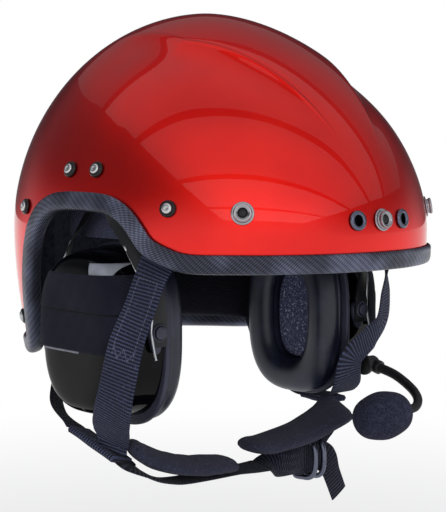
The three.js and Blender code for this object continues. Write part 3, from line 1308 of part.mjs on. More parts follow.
add('microphone', buildMicrophone(), mattBlack);
add('windscreen', buildWindscreen(), foamBlack);

export default group;
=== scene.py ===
"""Looks for the open-face crew helmet: lacquered shell, woven trim, ear cups, webbing and boom microphone.

Every place is in metres. The helmet faces -Y, and the wearer's left is +X.
"""

import math

import bpy
import numpy as np
from mathutils import Matrix, Vector


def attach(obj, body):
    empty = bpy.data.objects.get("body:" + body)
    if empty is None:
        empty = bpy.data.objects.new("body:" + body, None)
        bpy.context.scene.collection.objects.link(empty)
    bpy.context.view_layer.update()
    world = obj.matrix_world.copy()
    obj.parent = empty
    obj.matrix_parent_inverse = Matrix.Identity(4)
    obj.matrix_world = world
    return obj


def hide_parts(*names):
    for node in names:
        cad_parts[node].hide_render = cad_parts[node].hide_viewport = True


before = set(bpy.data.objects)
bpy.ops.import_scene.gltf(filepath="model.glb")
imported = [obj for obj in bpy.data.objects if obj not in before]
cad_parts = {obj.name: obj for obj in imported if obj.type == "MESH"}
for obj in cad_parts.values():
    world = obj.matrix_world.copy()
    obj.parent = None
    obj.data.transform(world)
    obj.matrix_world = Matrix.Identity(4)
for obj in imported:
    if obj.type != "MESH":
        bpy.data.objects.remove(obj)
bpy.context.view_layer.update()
MM = 0.001

# The photograph's camera: where it stands, its axes and its frame.
CAMERA_PLACE = Vector((-557.0, -612.2, 62.2)) * MM
CAMERA_RIGHT = Vector((0.74, -0.6726, 0.0))
CAMERA_UP = Vector((0.0505, 0.0555, 0.9972))
PHOTO_WIDTH = 446
PHOTO_HEIGHT = 512
FOCAL_PIXELS = 1271.6
CENTRE_PIXEL_X = 214
CENTRE_PIXEL_Y = 257
SENSOR = 36.0


def place_camera():
    right = CAMERA_RIGHT.normalized()
    back = right.cross(CAMERA_UP).normalized()
    up = back.cross(right)
    data = bpy.data.cameras.new("camera")
    data.sensor_width = SENSOR
    data.lens = FOCAL_PIXELS / PHOTO_HEIGHT * SENSOR
    data.shift_x = (PHOTO_WIDTH / 2 - CENTRE_PIXEL_X) / PHOTO_HEIGHT
    data.shift_y = (CENTRE_PIXEL_Y - PHOTO_HEIGHT / 2) / PHOTO_HEIGHT
    data.clip_start = 0.01
    camera = bpy.data.objects.new("camera", data)
    bpy.context.scene.collection.objects.link(camera)
    turn = Matrix((right, up, back)).transposed().to_4x4()
    camera.matrix_world = Matrix.Translation(CAMERA_PLACE) @ turn
    bpy.context.scene.camera = camera


place_camera()

# Shader maths: a socket that takes part in Python expressions, and one way to add any node.


def method(operation):
    """A method of a socket that adds one maths node."""
    return lambda self, *others: self.maths(operation, *others)


class Socket:
    def __init__(self, look, link):
        self.look = look
        self.link = link

    def maths(self, operation, *others):
        values = [self, *others]
        return self.look.add("ShaderNodeMath", {"operation": operation}, dict(enumerate(values)))

    __add__ = __radd__ = method("ADD")
    __sub__ = method("SUBTRACT")
    __mul__ = __rmul__ = method("MULTIPLY")
    __truediv__ = method("DIVIDE")
    sine = method("SINE")
    fraction = method("FRACT")
    size = method("ABSOLUTE")
    below = method("LESS_THAN")
    above = method("GREATER_THAN")
    power = method("POWER")
    larger = method("MAXIMUM")
    smaller = method("MINIMUM")

    def __rsub__(self, other):
        return self.look.add("ShaderNodeMath", {"operation": "SUBTRACT"}, {0: other, 1: self})

    def wave(self, pitch):
        return (self * (2 * math.pi / pitch)).sine()

    def ramp(self, low, high):
        """0 below low, 1 above high and smooth between them."""
        settings = {"interpolation_type": "SMOOTHSTEP"}
        return self.look.add("ShaderNodeMapRange", settings, {0: self, 1: low, 2: high, 3: 0.0, 4: 1.0})


# Outputs of the light path node.
CAMERA_RAY = 0
GLOSSY_RAY = 3
TRANSMISSION_RAY = 6


class Look:
    """One material with its nodes."""

    def __init__(self, name, roughness=0.5, metallic=0.0, **fixed):
        self.material = bpy.data.materials.new(name)
        self.take_tree(self.material)
        self.output = self.nodes.new("ShaderNodeOutputMaterial")
        self.shader = self.nodes.new("ShaderNodeBsdfPrincipled")
        self.links.new(self.shader.outputs[0], self.output.inputs[0])
        self.put("Roughness", roughness)
        self.put("Metallic", metallic)
        for socket, value in fixed.items():
            self.put(socket.replace("_", " "), value)

    def take_tree(self, owner):
        owner.use_nodes = True
        self.nodes = owner.node_tree.nodes
        self.links = owner.node_tree.links
        self.nodes.clear()

    def rays(self, kind):
        return self.add("ShaderNodeLightPath", output=kind)

    def seen_rays(self):
        """1 on rays from the camera or from a shiny or clear surface."""
        return self.rays(CAMERA_RAY).larger(self.rays(GLOSSY_RAY)).larger(self.rays(TRANSMISSION_RAY))

    def put(self, socket, value):
        self.feed(self.shader.inputs[socket], value)

    def feed(self, target, value):
        if isinstance(value, Socket):
            self.links.new(value.link, target)
        elif isinstance(value, (tuple, list)) and len(value) == 3 and len(target.default_value) == 4:
            target.default_value = (*value, 1.0)
        else:
            target.default_value = value

    def add(self, kind, settings=None, inputs=None, output=0):
        node = self.nodes.new(kind)
        for name, value in (settings or {}).items():
            setattr(node, name, value)
        for name, value in (inputs or {}).items():
            self.feed(node.inputs[name], value)
        return Socket(self, node.outputs[output])

    def split(self, vector):
        node = self.nodes.new("ShaderNodeSeparateXYZ")
        self.links.new(vector.link, node.inputs[0])
        return [Socket(self, node.outputs[i]) for i in range(3)]

    def spot(self):
        return self.add("ShaderNodeTexCoord", output=3)

    def surface(self):
        return self.add("ShaderNodeUVMap", {"uv_map": "UVMap"})

    def scaled(self, vector, factors):
        return self.add("ShaderNodeVectorMath", {"operation": "MULTIPLY"}, {0: vector, 1: factors})

    def noise(self, scale, detail, vector=None):
        inputs = {"Vector": vector or self.spot(), "Scale": scale, "Detail": detail}
        return self.add("ShaderNodeTexNoise", None, inputs)

    def cells(self, scale):
        return self.add("ShaderNodeTexVoronoi", None, {"Vector": self.spot(), "Scale": scale})

    def mix(self, share, low, high):
        settings = {"data_type": "RGBA"}
        return self.add("ShaderNodeMix", settings, {0: share, 6: low, 7: high}, output=2)

    def paint(self, share, low, high):
        self.put("Base Color", self.mix(share, low, high))

    def bump(self, height, distance, strength):
        inputs = {"Height": height, "Distance": distance, "Strength": strength}
        self.put("Normal", self.add("ShaderNodeBump", None, inputs))


# Finishes.
TWILL_PITCH = 1.8 * MM
RIB_PITCH = 2.05 * MM
THREAD_PITCH = 1.3 * MM
STITCH_PITCH = 2.6 * MM
STITCH_SHARE = 0.6
STITCH_HALF_WIDTH = 0.4 * MM
KNIT_PITCH = 1.2 * MM
BAND_SEAM_HALF_WIDTH = 0.5 * MM
CREASE_LINE_WIDTH = 1.6 * MM


def candy_paint():
    look = Look("candy_paint", metallic=1.0, Coat_Roughness=0.015, Coat_IOR=1.36,
                Specular_Tint=(1.0, 0.3, 0.28))
    look.put("Coat Weight", 1.0)
    flake = look.cells(5200.0)
    cloud = look.noise(14.0, 3.0)
    deep = look.mix(cloud.ramp(0.3, 0.7), (0.78, 0.005, 0.004), (0.93, 0.011, 0.006))
    look.paint(flake.ramp(0.0, 0.45), (1.0, 0.034, 0.01), deep)
    look.put("Roughness", 0.27 + flake * 0.12)
    x, y, z = look.split(look.spot())
    along = ((PANEL_REAR_Y - y) / (PANEL_REAR_Y - PANEL_FRONT_Y)).larger(0.0).smaller(1.0)
    half = PANEL_REAR_HALF - along * (PANEL_REAR_HALF - PANEL_FRONT_HALF)
    off = (x.size() - half).size()
    fade = (PANEL_TAIL_Y - y).ramp(0.0, PANEL_TAIL_LENGTH) * z.above(0.05)
    crease = (1.0 - off.ramp(0.0, CREASE_LINE_WIDTH)) * fade
    look.bump(flake * 0.03 + crease * (1.0 - along.ramp(0.7, 1.0)), 0.0005, 0.8)
    return look.material


def painted_inside():
    look = Look("painted_inside", roughness=0.8)
    fleck = look.noise(900.0, 3.0)
    look.paint(fleck.ramp(0.35, 0.7), (0.008, 0.008, 0.009), (0.02, 0.02, 0.022))
    look.bump(fleck, 0.0003, 0.6)
    return look.material


def woven_moulding():
    look = Look("woven_moulding", metallic=0.6, Coat_Weight=0.1, Coat_Roughness=0.25)
    u, v, _ = look.split(look.surface())
    rising = (u + v).wave(TWILL_PITCH)
    falling = (u - v * 0.8).wave(2 * TWILL_PITCH)
    weave = (rising * 0.6 + falling * 0.4).ramp(-0.5, 0.75)
    # Pale blue patches over the weave are painted glints: painted highlight.
    patch = look.noise(38.0, 2.0).ramp(0.35, 0.7)
    base = look.mix(weave, (0.016, 0.017, 0.026), (0.07, 0.076, 0.12))
    look.paint((weave * 0.6 + 0.25) * patch, base, (0.24, 0.265, 0.4))
    look.put("Roughness", 0.4 - weave * 0.1)
    look.bump(weave, 0.0004, 0.8)
    return look.material


def webbing_cloth(name, stitches=(), colour=(0.042, 0.047, 0.092)):
    """Ribbed webbing; stitches are rows of (first u, first v, last u, last v) on the piece's own UV map."""
    look = Look(name, roughness=0.86, Specular_IOR_Level=0.25, Sheen_Weight=0.06, Sheen_Roughness=0.5)
    u, v, _ = look.split(look.surface())
    height = v.wave(RIB_PITCH) * 0.6 + u.wave(THREAD_PITCH) * 0.16
    fuzz = look.noise(520.0, 3.0)
    rib_highlight_patches = look.noise(30.0, 3.0).ramp(0.3, 0.7)
    # Darker in the grooves between the ribs is painted shade; pale on the rib tops, in noise patches, is
    # painted highlight.
    dark = tuple(c * 0.25 for c in colour)
    pale = (colour[0] * 4.6, colour[1] * 4.8, colour[2] * 4.5)
    tone = look.mix(height.ramp(-0.5, 0.5), dark, colour)
    tone = look.mix(height.ramp(0.1, 0.8) * (0.2 + rib_highlight_patches * 0.35), tone, pale)
    tone = look.mix(fuzz.ramp(0.55, 0.8) * 0.3, tone, pale)
    mask = None
    for first_u, first_v, last_u, last_v in stitches:
        run = Vector((last_u - first_u, last_v - first_v))
        length = run.length
        run.normalize()
        along = (u - first_u) * run.x + (v - first_v) * run.y
        off = ((u - first_u) * run.y - (v - first_v) * run.x).size()
        dash = (along / STITCH_PITCH).fraction().below(STITCH_SHARE)
        stitch = off.below(STITCH_HALF_WIDTH) * along.above(0.0) * along.below(length) * dash
        mask = stitch if mask is None else mask.larger(stitch)
    if mask is not None:
        tone = look.mix(mask * 0.75, tone, (0.17, 0.18, 0.27))
        height = height + mask * 1.2
    look.put("Base Color", tone)
    look.bump(height, 0.0004, 0.9)
    return look.material


def lining_fabric(name, colour=(0.012, 0.0125, 0.024), weave=THREAD_PITCH):
    look = Look(name, roughness=0.92, Specular_IOR_Level=0.2, Sheen_Weight=0.08, Sheen_Roughness=0.6)
    x, y, z = look.split(look.spot())
    knit = ((x + y).wave(weave) * z.wave(weave)).ramp(-0.6, 0.8)
    fuzz = look.noise(700.0, 3.0)
    crease = look.noise(38.0, 3.0)
    dark = tuple(c * 0.4 for c in colour)
    pale = tuple(c * 2.6 + 0.004 for c in colour)
    tone = look.mix(knit, dark, colour)
    look.paint(fuzz.ramp(0.52, 0.8) * 0.5, tone, pale)
    look.bump(knit * 0.25 + crease * 1.6 + fuzz * 0.3, 0.0006, 0.8)
    return look.material


def foam_beads():
    look = Look("foam_beads", roughness=0.9)
    bead = look.cells(240.0)
    look.paint(bead.ramp(0.1, 0.7), (0.02, 0.021, 0.036), (0.045, 0.048, 0.08))
    look.bump(1.0 - bead, 0.0005, 0.7)
    return look.material


def gloss_moulding():
    look = Look("gloss_moulding", Specular_IOR_Level=0.12)
    smudge = look.noise(26.0, 4.0)
    scratch = look.noise(160.0, 2.0, vector=look.scaled(look.spot(), (1.0, 7.0, 1.0)))
    marks = scratch.ramp(0.62, 0.74)
    look.paint(marks * 0.25, (0.002, 0.002, 0.0035), (0.012, 0.012, 0.016))
    look.put("Roughness", 0.05 + smudge.ramp(0.4, 0.8) * 0.07 + marks * 0.1)
    look.bump(smudge, 0.0002, 0.15)
    return look.material


def satin_moulding(name, colour, roughness=0.42):
    look = Look(name, Specular_IOR_Level=0.35)
    grain = look.noise(1500.0, 2.0)
    wear = look.noise(45.0, 4.0)
    pale = tuple(c * 1.8 + 0.002 for c in colour)
    look.paint(wear.ramp(0.45, 0.75) * 0.6, colour, pale)
    look.put("Roughness", roughness + wear.ramp(0.3, 0.7) * 0.14)
    look.bump(grain, 0.00008, 0.5)
    return look.material


def metal(name, colour, roughness, scratched=0.12, grain=0.00005):
    look = Look(name, metallic=1.0)
    brush = look.noise(300.0, 3.0, vector=look.scaled(look.spot(), (1.0, 1.0, 6.0)))
    dirt = look.noise(90.0, 4.0)
    dark = tuple(c * 0.45 for c in colour)
    look.paint(dirt.ramp(0.5, 0.8) * 0.6, colour, dark)
    look.put("Roughness", roughness + brush.ramp(0.4, 0.8) * scratched)
    look.bump(brush, grain, 0.3)
    return look.material


def seal_leatherette():
    look = Look("seal_leatherette", Coat_Weight=0.2, Coat_Roughness=0.32, Coat_Tint=(0.75, 0.82, 1.0))
    grain = look.cells(1300.0)
    fold = look.noise(60.0, 4.0)
    # Lighter on the raised folds and darker in the hollows between them, following the bump: painted light
    # and shade.
    look.paint(fold.ramp(0.4, 0.75), (0.009, 0.011, 0.025), (0.025, 0.029, 0.06))
    look.put("Roughness", 0.34 + fold * 0.14)
    look.bump(fold * 1.5 - grain * 0.35, 0.0005, 0.55)
    return look.material


def speckled_cloth():
    look = Look("speckled_cloth", roughness=0.95, Specular_IOR_Level=0.2)
    pore = look.cells(700.0)
    fleck = look.noise(620.0, 2.0).ramp(0.58, 0.66)
    base = look.mix(pore.ramp(0.1, 0.6), (0.03, 0.034, 0.07), (0.15, 0.165, 0.29))
    look.paint(fleck * 0.9, base, (0.6, 0.63, 0.8))
    look.bump(pore, 0.0008, 0.9)
    return look.material


def open_foam():
    look = Look("open_foam", roughness=0.97, Specular_IOR_Level=0.15, Sheen_Weight=0.05)
    pore = look.cells(900.0)
    lump = look.noise(240.0, 3.0)
    base = look.mix(pore.ramp(0.05, 0.6), (0.008, 0.009, 0.019), (0.04, 0.043, 0.078))
    look.paint(lump.ramp(0.5, 0.8) * 0.5, base, (0.095, 0.1, 0.165))
    look.bump(pore + lump * 0.6, 0.0007, 0.9)
    return look.material


def stretch_cloth():
    look = Look("stretch_cloth", roughness=0.9, Specular_IOR_Level=0.2, Sheen_Weight=0.06)
    _, y, z = look.split(look.spot())
    knit = (y.wave(KNIT_PITCH) * z.wave(KNIT_PITCH)).ramp(-0.5, 0.8)
    smear = look.noise(34.0, 4.0)
    seam = (z - BAND_SEAM_Z).size().below(BAND_SEAM_HALF_WIDTH)
    dull = look.mix(knit, (0.005, 0.005, 0.012), (0.016, 0.017, 0.038))
    # Lighter where the smear noise rises, the same noise that raises the bump.
    smear_lightened = look.mix(smear.ramp(0.45, 0.8) * 0.5, dull, (0.034, 0.035, 0.055))
    look.paint(seam, smear_lightened, (0.004, 0.004, 0.006))
    look.bump(knit * 0.3 + smear * 1.2 - seam * 1.5, 0.0005, 0.8)
    return look.material


# Pale paper for the blank label above the band, and for the strip below it, which is a painted highlight.
def paper_and_highlight():
    look = Look("paper_and_highlight", roughness=0.5)
    stain = look.noise(120.0, 3.0)
    look.paint(stain.ramp(0.35, 0.75), (0.42, 0.44, 0.5), (0.3, 0.32, 0.38))
    return look.material


# Dome of the shell: half sizes from its widest level, as the solids have them.
SHELL_HALF_WIDTH = 121.5 * MM
SHELL_HALF_LENGTH = 141 * MM
SHELL_CROWN_RISE = 137.5 * MM
SHELL_LOWER_REACH = 230 * MM
WIDEST_Z = 20 * MM
SHELL_CENTRE_Y = -1 * MM
CROWN_SETBACK = 10.5 * MM
SHELL_WALL = 3 * MM
PLAN_POWER = 2.1
FRONT_POWER = 1.78
REAR_POWER = 1.92
PANEL_REAR_Y = -30 * MM
PANEL_FRONT_Y = -131 * MM
PANEL_REAR_HALF = 52 * MM
PANEL_FRONT_HALF = 14 * MM
PANEL_TAIL_Y = 48 * MM
PANEL_TAIL_LENGTH = 50 * MM
VALLEY_DEPTH = 3.4 * MM
VALLEY_REAR_REACH = 17 * MM
VALLEY_FRONT_REACH = 7 * MM
CREASE_SOFTNESS = 0.8 * MM
BROW_EDGE_Z = 2.5 * MM
ARCH_FRONT_Y = -84 * MM
ARCH_LENGTH = 126 * MM
ARCH_HEIGHT = 33.5 * MM
NAPE_DROP = 61 * MM
ARCH_SHARES = [
    (0.003, 0.02), (0.081, 0.12), (0.169, 0.305), (0.22, 0.552), (0.256, 0.713), (0.302, 0.85),
    (0.365, 0.95), (0.437, 0.988), (0.53, 1), (0.65, 1), (0.746, 0.955), (0.833, 0.82),
    (0.9, 0.597), (0.948, 0.31), (0.98, 0.015),
]
NAPE_SHARES = [(1.008, 0.172), (1.036, 0.434), (1.06, 0.697), (1.095, 0.877), (1.159, 0.975), (1.24, 1)]
BROW_BEARING_SHARES = [0, 0.11, 0.2]
NAPE_BEARING_SHARES = [0.92, 1]


def smooth(share):
    share = np.clip(share, 0, 1)
    return share * share * (3 - 2 * share)


def unit(vectors):
    return vectors / np.linalg.norm(vectors, axis=-1, keepdims=True)


def plain_dome(bearing, zenith):
    dx = np.sin(zenith) * np.sin(bearing)
    dy = -np.sin(zenith) * np.cos(bearing)
    dz = np.cos(zenith)
    power = REAR_POWER + (FRONT_POWER - REAR_POWER) * (0.5 + 0.5 * np.cos(bearing))
    rise = np.where(dz > 0, SHELL_CROWN_RISE, SHELL_LOWER_REACH)
    plan = np.abs(dx / SHELL_HALF_WIDTH) ** PLAN_POWER + np.abs(dy / SHELL_HALF_LENGTH) ** PLAN_POWER
    reach = (plan ** (power / PLAN_POWER) + np.abs(dz / rise) ** power) ** (-1 / power)
    height = reach * dz
    setback = CROWN_SETBACK * (np.maximum(height, 0) / SHELL_CROWN_RISE) ** 2
    return np.stack([reach * dx, reach * dy + SHELL_CENTRE_Y + setback, height + WIDEST_Z], axis=-1)


def dome_normal(bearing, zenith):
    step = 1e-3
    tilt = np.maximum(zenith, 4 * step)
    around = plain_dome(bearing + step, tilt) - plain_dome(bearing - step, tilt)
    down = plain_dome(bearing, tilt + step) - plain_dome(bearing, tilt - step)
    return unit(np.cross(down, around))


def panel_relief(x, y):
    along = np.clip((PANEL_REAR_Y - y) / (PANEL_REAR_Y - PANEL_FRONT_Y), 0, 1)
    half = PANEL_REAR_HALF + (PANEL_FRONT_HALF - PANEL_REAR_HALF) * along
    over = CREASE_SOFTNESS * np.logaddexp(0, (np.abs(x) - half) / CREASE_SOFTNESS)
    reach = VALLEY_REAR_REACH + (VALLEY_FRONT_REACH - VALLEY_REAR_REACH) * along
    fade = smooth((1 - along) * 1.6) * smooth((PANEL_TAIL_Y - y) / PANEL_TAIL_LENGTH)
    return -VALLEY_DEPTH * fade * (over / reach) * np.exp(1 - over / reach)


def skin(bearing, zenith, depth=0.0):
    point = plain_dome(bearing, zenith)
    lift = panel_relief(point[..., 0], point[..., 1]) - depth
    return point + dome_normal(bearing, zenith) * lift[..., None]


def bisect(low, high, below):
    low, high = np.array(low, float), np.array(high, float)
    for _ in range(40):
        middle = (low + high) / 2
        under = below(middle)
        low = np.where(under, middle, low)
        high = np.where(under, high, middle)
    return (low + high) / 2


def zenith_at(bearing, z):
    low = np.zeros(np.broadcast(bearing, z).shape)
    return bisect(low, low + math.pi * 0.75, lambda zenith: plain_dome(bearing, zenith)[..., 2] > z)


def bearing_at(y, z):
    low = np.zeros(np.broadcast(y, z).shape)
    return bisect(low, low + math.pi, lambda b: plain_dome(b, zenith_at(b, z))[..., 1] < y)


def level_point(bearing, z, depth=0.0):
    return skin(bearing, zenith_at(bearing, z), depth)


def level_spot(bearing, z):
    """The place and the normal of the shell's outside at a bearing and a height."""
    zenith = zenith_at(bearing, z)
    return skin(bearing, zenith), dome_normal(bearing, zenith)


def spot(side, y, z):
    return level_spot(side * bearing_at(y, z), z)


def front_spot(x, z):
    found = bisect(0.0, math.pi / 2, lambda b: plain_dome(b, zenith_at(b, z))[..., 0] < abs(x))
    return level_spot(np.sign(x) * found, z)


def curve_through(points, shares, closed=False):
    """Places on the centripetal curve through points, at shares of the whole from 0 to 1."""
    points = np.array(points, float)
    if closed:
        padded = np.vstack([points[-1:], points, points[:2]])
    else:
        padded = np.vstack([2 * points[0] - points[1], points, 2 * points[-1] - points[-2]])
    spans = len(padded) - 3
    place = np.clip(np.asarray(shares) * spans, 0, spans - 1e-9)
    low = place.astype(int)
    t = (place - low)[:, None]
    p0, p1, p2, p3 = (padded[low + k] for k in range(4))
    d0, d1, d2 = (np.maximum(np.sqrt(np.linalg.norm(b - a, axis=1, keepdims=True)), 1e-6)
                  for a, b in ((p0, p1), (p1, p2), (p2, p3)))
    slope1 = ((p1 - p0) / d0 - (p2 - p0) / (d0 + d1) + (p2 - p1) / d1) * d1
    slope2 = ((p2 - p1) / d1 - (p3 - p1) / (d1 + d2) + (p3 - p2) / d2) * d1
    return (p1 + slope1 * t + (3 * (p2 - p1) - 2 * slope1 - slope2) * t**2
            + (2 * (p1 - p2) + slope1 + slope2) * t**3)


def run_along(points):
    """The distance along a row of points to each of them."""
    return np.concatenate([[0], np.cumsum(np.linalg.norm(np.diff(points, axis=0), axis=1))])


def even_shares(points, count):
    fine = np.linspace(0, 1, 2400)
    run = run_along(curve_through(points, fine))
    return np.interp(np.linspace(0, run[-1], count), run, fine)


def shell_edge(count):
    """Bearings and heights along the shell's lower edge, evenly spaced, from the brow round to the brow."""
    rows = [(share * math.pi, BROW_EDGE_Z) for share in BROW_BEARING_SHARES]
    for along, height in ARCH_SHARES:
        z = BROW_EDGE_Z + height * ARCH_HEIGHT
        rows.append((float(bearing_at(ARCH_FRONT_Y + along * ARCH_LENGTH, z)), z))
    for along, drop in NAPE_SHARES:
        z = BROW_EDGE_Z - drop * NAPE_DROP
        rows.append((float(bearing_at(ARCH_FRONT_Y + along * ARCH_LENGTH, z)), z))
    rows += [(share * math.pi, BROW_EDGE_Z - NAPE_DROP) for share in NAPE_BEARING_SHARES]
    knots = [(bearing * SHELL_HALF_WIDTH, z) for bearing, z in rows]
    half = curve_through(knots, even_shares(knots, count // 2 + 1))
    bearing = half[:, 0] / SHELL_HALF_WIDTH
    z = half[:, 1]
    return np.concatenate([bearing, -bearing[-2::-1]]), np.concatenate([z, z[-2::-1]])


# Mesh helpers: a grid is added, wrapped on to a surface and closed along its seams.
MERGE_REACH = 0.01 * MM
SOLID_MERGE_REACH = 0.005 * MM
FLAT_ANGLE = 0.02
EDGE_ANGLE = 0.7
FITTING_ANGLE = 0.6
CORNER_CUTS = 4
STRAP_ANGLE = 0.9
CAN_BEVEL = 0.5 * MM
STEEL_BEVEL = 0.4 * MM
PIVOT_BEVEL = 0.35 * MM
WIRE_BEVEL = 0.2 * MM

# How full a visual piece fills its solid across and through, and the share of stuffing in soft pieces.
SNUG = 0.985
SNUG_THROUGH = 0.97
PAD_FILL = 0.6
ROLL_FILL = 0.7
SEAL_FILL = 0.8
FOAM_FILL = 0.5


def start_clean():
    if bpy.context.object and bpy.context.object.mode != "OBJECT":
        bpy.ops.object.mode_set(mode="OBJECT")
    bpy.ops.object.select_all(action="DESELECT")


def alone(piece):
    """Selects one piece and nothing else."""
    start_clean()
    bpy.context.view_layer.objects.active = piece
    piece.select_set(True)


def finish_mesh(piece, material, smooth_angle=None, merge=MERGE_REACH):
    alone(piece)
    bpy.ops.object.mode_set(mode="EDIT")
    bpy.ops.mesh.select_all(action="SELECT")
    bpy.ops.mesh.remove_doubles(threshold=merge)
    bpy.ops.mesh.normals_make_consistent(inside=False)
    bpy.ops.object.mode_set(mode="OBJECT")
    if smooth_angle is None:
        bpy.ops.object.shade_smooth()
    else:
        bpy.ops.object.shade_smooth_by_angle(angle=smooth_angle)
    piece.data.materials.clear()
    piece.data.materials.append(material)
    return piece


def wrapped_grid(name, across, along, surface, material, smooth_angle=None, uv=None):
    """A grid of across by along cells whose places come from surface(u, v); uv(u, v) is its map in metres."""
    start_clean()
    bpy.ops.mesh.primitive_grid_add(x_subdivisions=across, y_subdivisions=along, size=2, location=(0, 0, 0))
    piece = bpy.context.object
    piece.name = piece.data.name = name
    mesh = piece.data
    corners = np.zeros(len(mesh.vertices) * 3)
    mesh.vertices.foreach_get("co", corners)
    corners = corners.reshape(-1, 3)
    u, v = (corners[:, 0] + 1) / 2, (corners[:, 1] + 1) / 2
    mesh.vertices.foreach_set("co", surface(u, v).astype(np.float32).ravel())
    if uv is not None:
        loop_vertices = np.zeros(len(mesh.loops), int)
        mesh.loops.foreach_get("vertex_index", loop_vertices)
        places = np.stack(uv(u[loop_vertices], v[loop_vertices]), axis=-1)
        mesh.uv_layers.active.data.foreach_set("uv", places.astype(np.float32).ravel())
    mesh.uv_layers.active.name = "UVMap"
    mesh.update()
    return finish_mesh(piece, material, smooth_angle)


def modified(piece, kind, **settings):
    alone(piece)
    modifier = piece.modifiers.new(kind.lower(), kind)
    for name, value in settings.items():
        setattr(modifier, name, value)
    bpy.ops.object.modifier_apply(modifier=modifier.name)
    return piece


def thick(piece, wall, offset=-1.0, **settings):
    return modified(piece, "SOLIDIFY", thickness=wall, offset=offset, **settings)


def dress(piece, body, slot, *nodes, padded=None):
    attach(piece, body)
    if nodes:
        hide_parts(*nodes)
    return piece


def turned(name, profile, origin, direction, material, steps=40, smooth_angle=FITTING_ANGLE):
    """A lathe piece: profile is (radius, height) from axis to axis or closed, along a direction."""
    rows = np.array(profile, float)
    axis = unit(np.array(direction, float))
    side = unit(np.cross(axis, [0.13, 0.21, 0.97]))
    third = np.cross(axis, side)

    def surface(u, v):
        row = v * (len(rows) - 1)
        low = np.minimum(row.astype(int), len(rows) - 2)
        share = (row - low)[:, None]
        radius, height = (rows[low] * (1 - share) + rows[low + 1] * share).T
        angle = 2 * math.pi * u
        return (np.array(origin) + axis * height[:, None]
                + side * (radius * np.cos(angle))[:, None] + third * (radius * np.sin(angle))[:, None])

    return wrapped_grid(name, steps, len(rows) - 1, surface, material, smooth_angle)


def rounded_profile(profile, radius):
    """The profile with each inner corner rounded."""
    rows = [np.array(p, float) for p in profile]
    out = [rows[0]]
    for before, corner, after in zip(rows, rows[1:], rows[2:]):
        back, ahead = before - corner, after - corner
        reach = min(radius, np.linalg.norm(back) * 0.45, np.linalg.norm(ahead) * 0.45)
        a = corner + back / max(np.linalg.norm(back), 1e-9) * reach
        b = corner + ahead / max(np.linalg.norm(ahead), 1e-9) * reach
        for share in np.linspace(0, 1, CORNER_CUTS):
            out.append((1 - share) ** 2 * a + 2 * share * (1 - share) * corner + share**2 * b)
    return [*out, rows[-1]]


def refined(name, node, material, bevel, body, slot):
    """A copy of a solid with its edges rounded."""
    piece = bpy.data.objects.new(name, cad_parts[node].data.copy())
    bpy.context.scene.collection.objects.link(piece)
    finish_mesh(piece, material, merge=SOLID_MERGE_REACH)
    modified(piece, "DECIMATE", decimate_type="DISSOLVE", angle_limit=FLAT_ANGLE)
    modified(piece, "BEVEL", width=bevel, segments=3, limit_method="ANGLE", angle_limit=EDGE_ANGLE,
             use_clamp_overlap=True)
    alone(piece)
    bpy.ops.object.shade_smooth_by_angle(angle=FITTING_ANGLE)
    return dress(piece, body, slot, node)


SIDES = (("right", -1), ("left", 1))
ROOT = "shell_body"

# Places of the screws on each side in millimetres, (y, z).
SCREW_PLACES = {
    "carrier_screw_rear": (-0.4, 57.6),
    "carrier_screw_front": (-23.6, 57.6),
    "strap_screw_front": (-75.4, 36),
    "strap_screw_rear": (46.5, 34.4),
    "nape_screw": (66, -36),
}


def body_of_cup(name):
    return f"cup_{name}_body"


# Shell.
GROMMET_PITCH = 38.4 * MM
FRONT_STUD_Z = 29 * MM
GROMMET_SLEEVE_R = 4.5 * MM
SHELL_STATIONS = 376
SHELL_RINGS = 112


def make_shell():
    bearing, z = shell_edge(SHELL_STATIONS)
    low = zenith_at(bearing, z)
    stations = np.linspace(0, 1, len(bearing))

    def surface(u, v):
        b = np.interp(u, stations, np.unwrap(bearing))
        return skin(b, np.interp(u, stations, low) * v)

    shell = wrapped_grid("shell_skin", len(bearing) - 1, SHELL_RINGS, surface, candy_paint())
    shell.data.materials.append(painted_inside())
    thick(shell, SHELL_WALL, material_offset=1)
    for _, side in SIDES:
        point, normal = front_spot(side * GROMMET_PITCH / 2, FRONT_STUD_Z)
        start_clean()
        bpy.ops.mesh.primitive_cylinder_add(vertices=32, radius=GROMMET_SLEEVE_R, depth=5 * SHELL_WALL)
        cutter = bpy.context.object
        turn = Vector((0, 0, 1)).rotation_difference(Vector(normal))
        cutter.matrix_world = Matrix.Translation(Vector(point)) @ turn.to_matrix().to_4x4()
        bpy.context.view_layer.update()
        modified(shell, "BOOLEAN", operation="DIFFERENCE", object=cutter, solver="EXACT")
        bpy.data.objects.remove(cutter)
    alone(shell)
    bpy.ops.object.shade_smooth_by_angle(angle=EDGE_ANGLE)
    return dress(shell, ROOT, "candy_shell", "shell")


# Edge trim: its section in millimetres, (inwards of the edge, out of the wall's middle).
TRIM_STATIONS = 360
TRIM_AROUND = 60
UP_THE_WALL = 0.97
TRIM_SECTION = [
    (8.5, 0.7), (8.3, 1.9), (7.2, 2.55), (4, 2.75), (0.5, 2.75), (-1.6, 1.9), (-2.5, -0.4), (-2.5, -2.8),
    (-2, -5.2), (-0.6, -6.8), (1.5, -7.2), (5, -7.3), (8.3, -7.2), (8.5, -4.4), (4, -3.9), (-0.6, -3.6),
    (-0.6, 0.6), (4, 0.65),
]


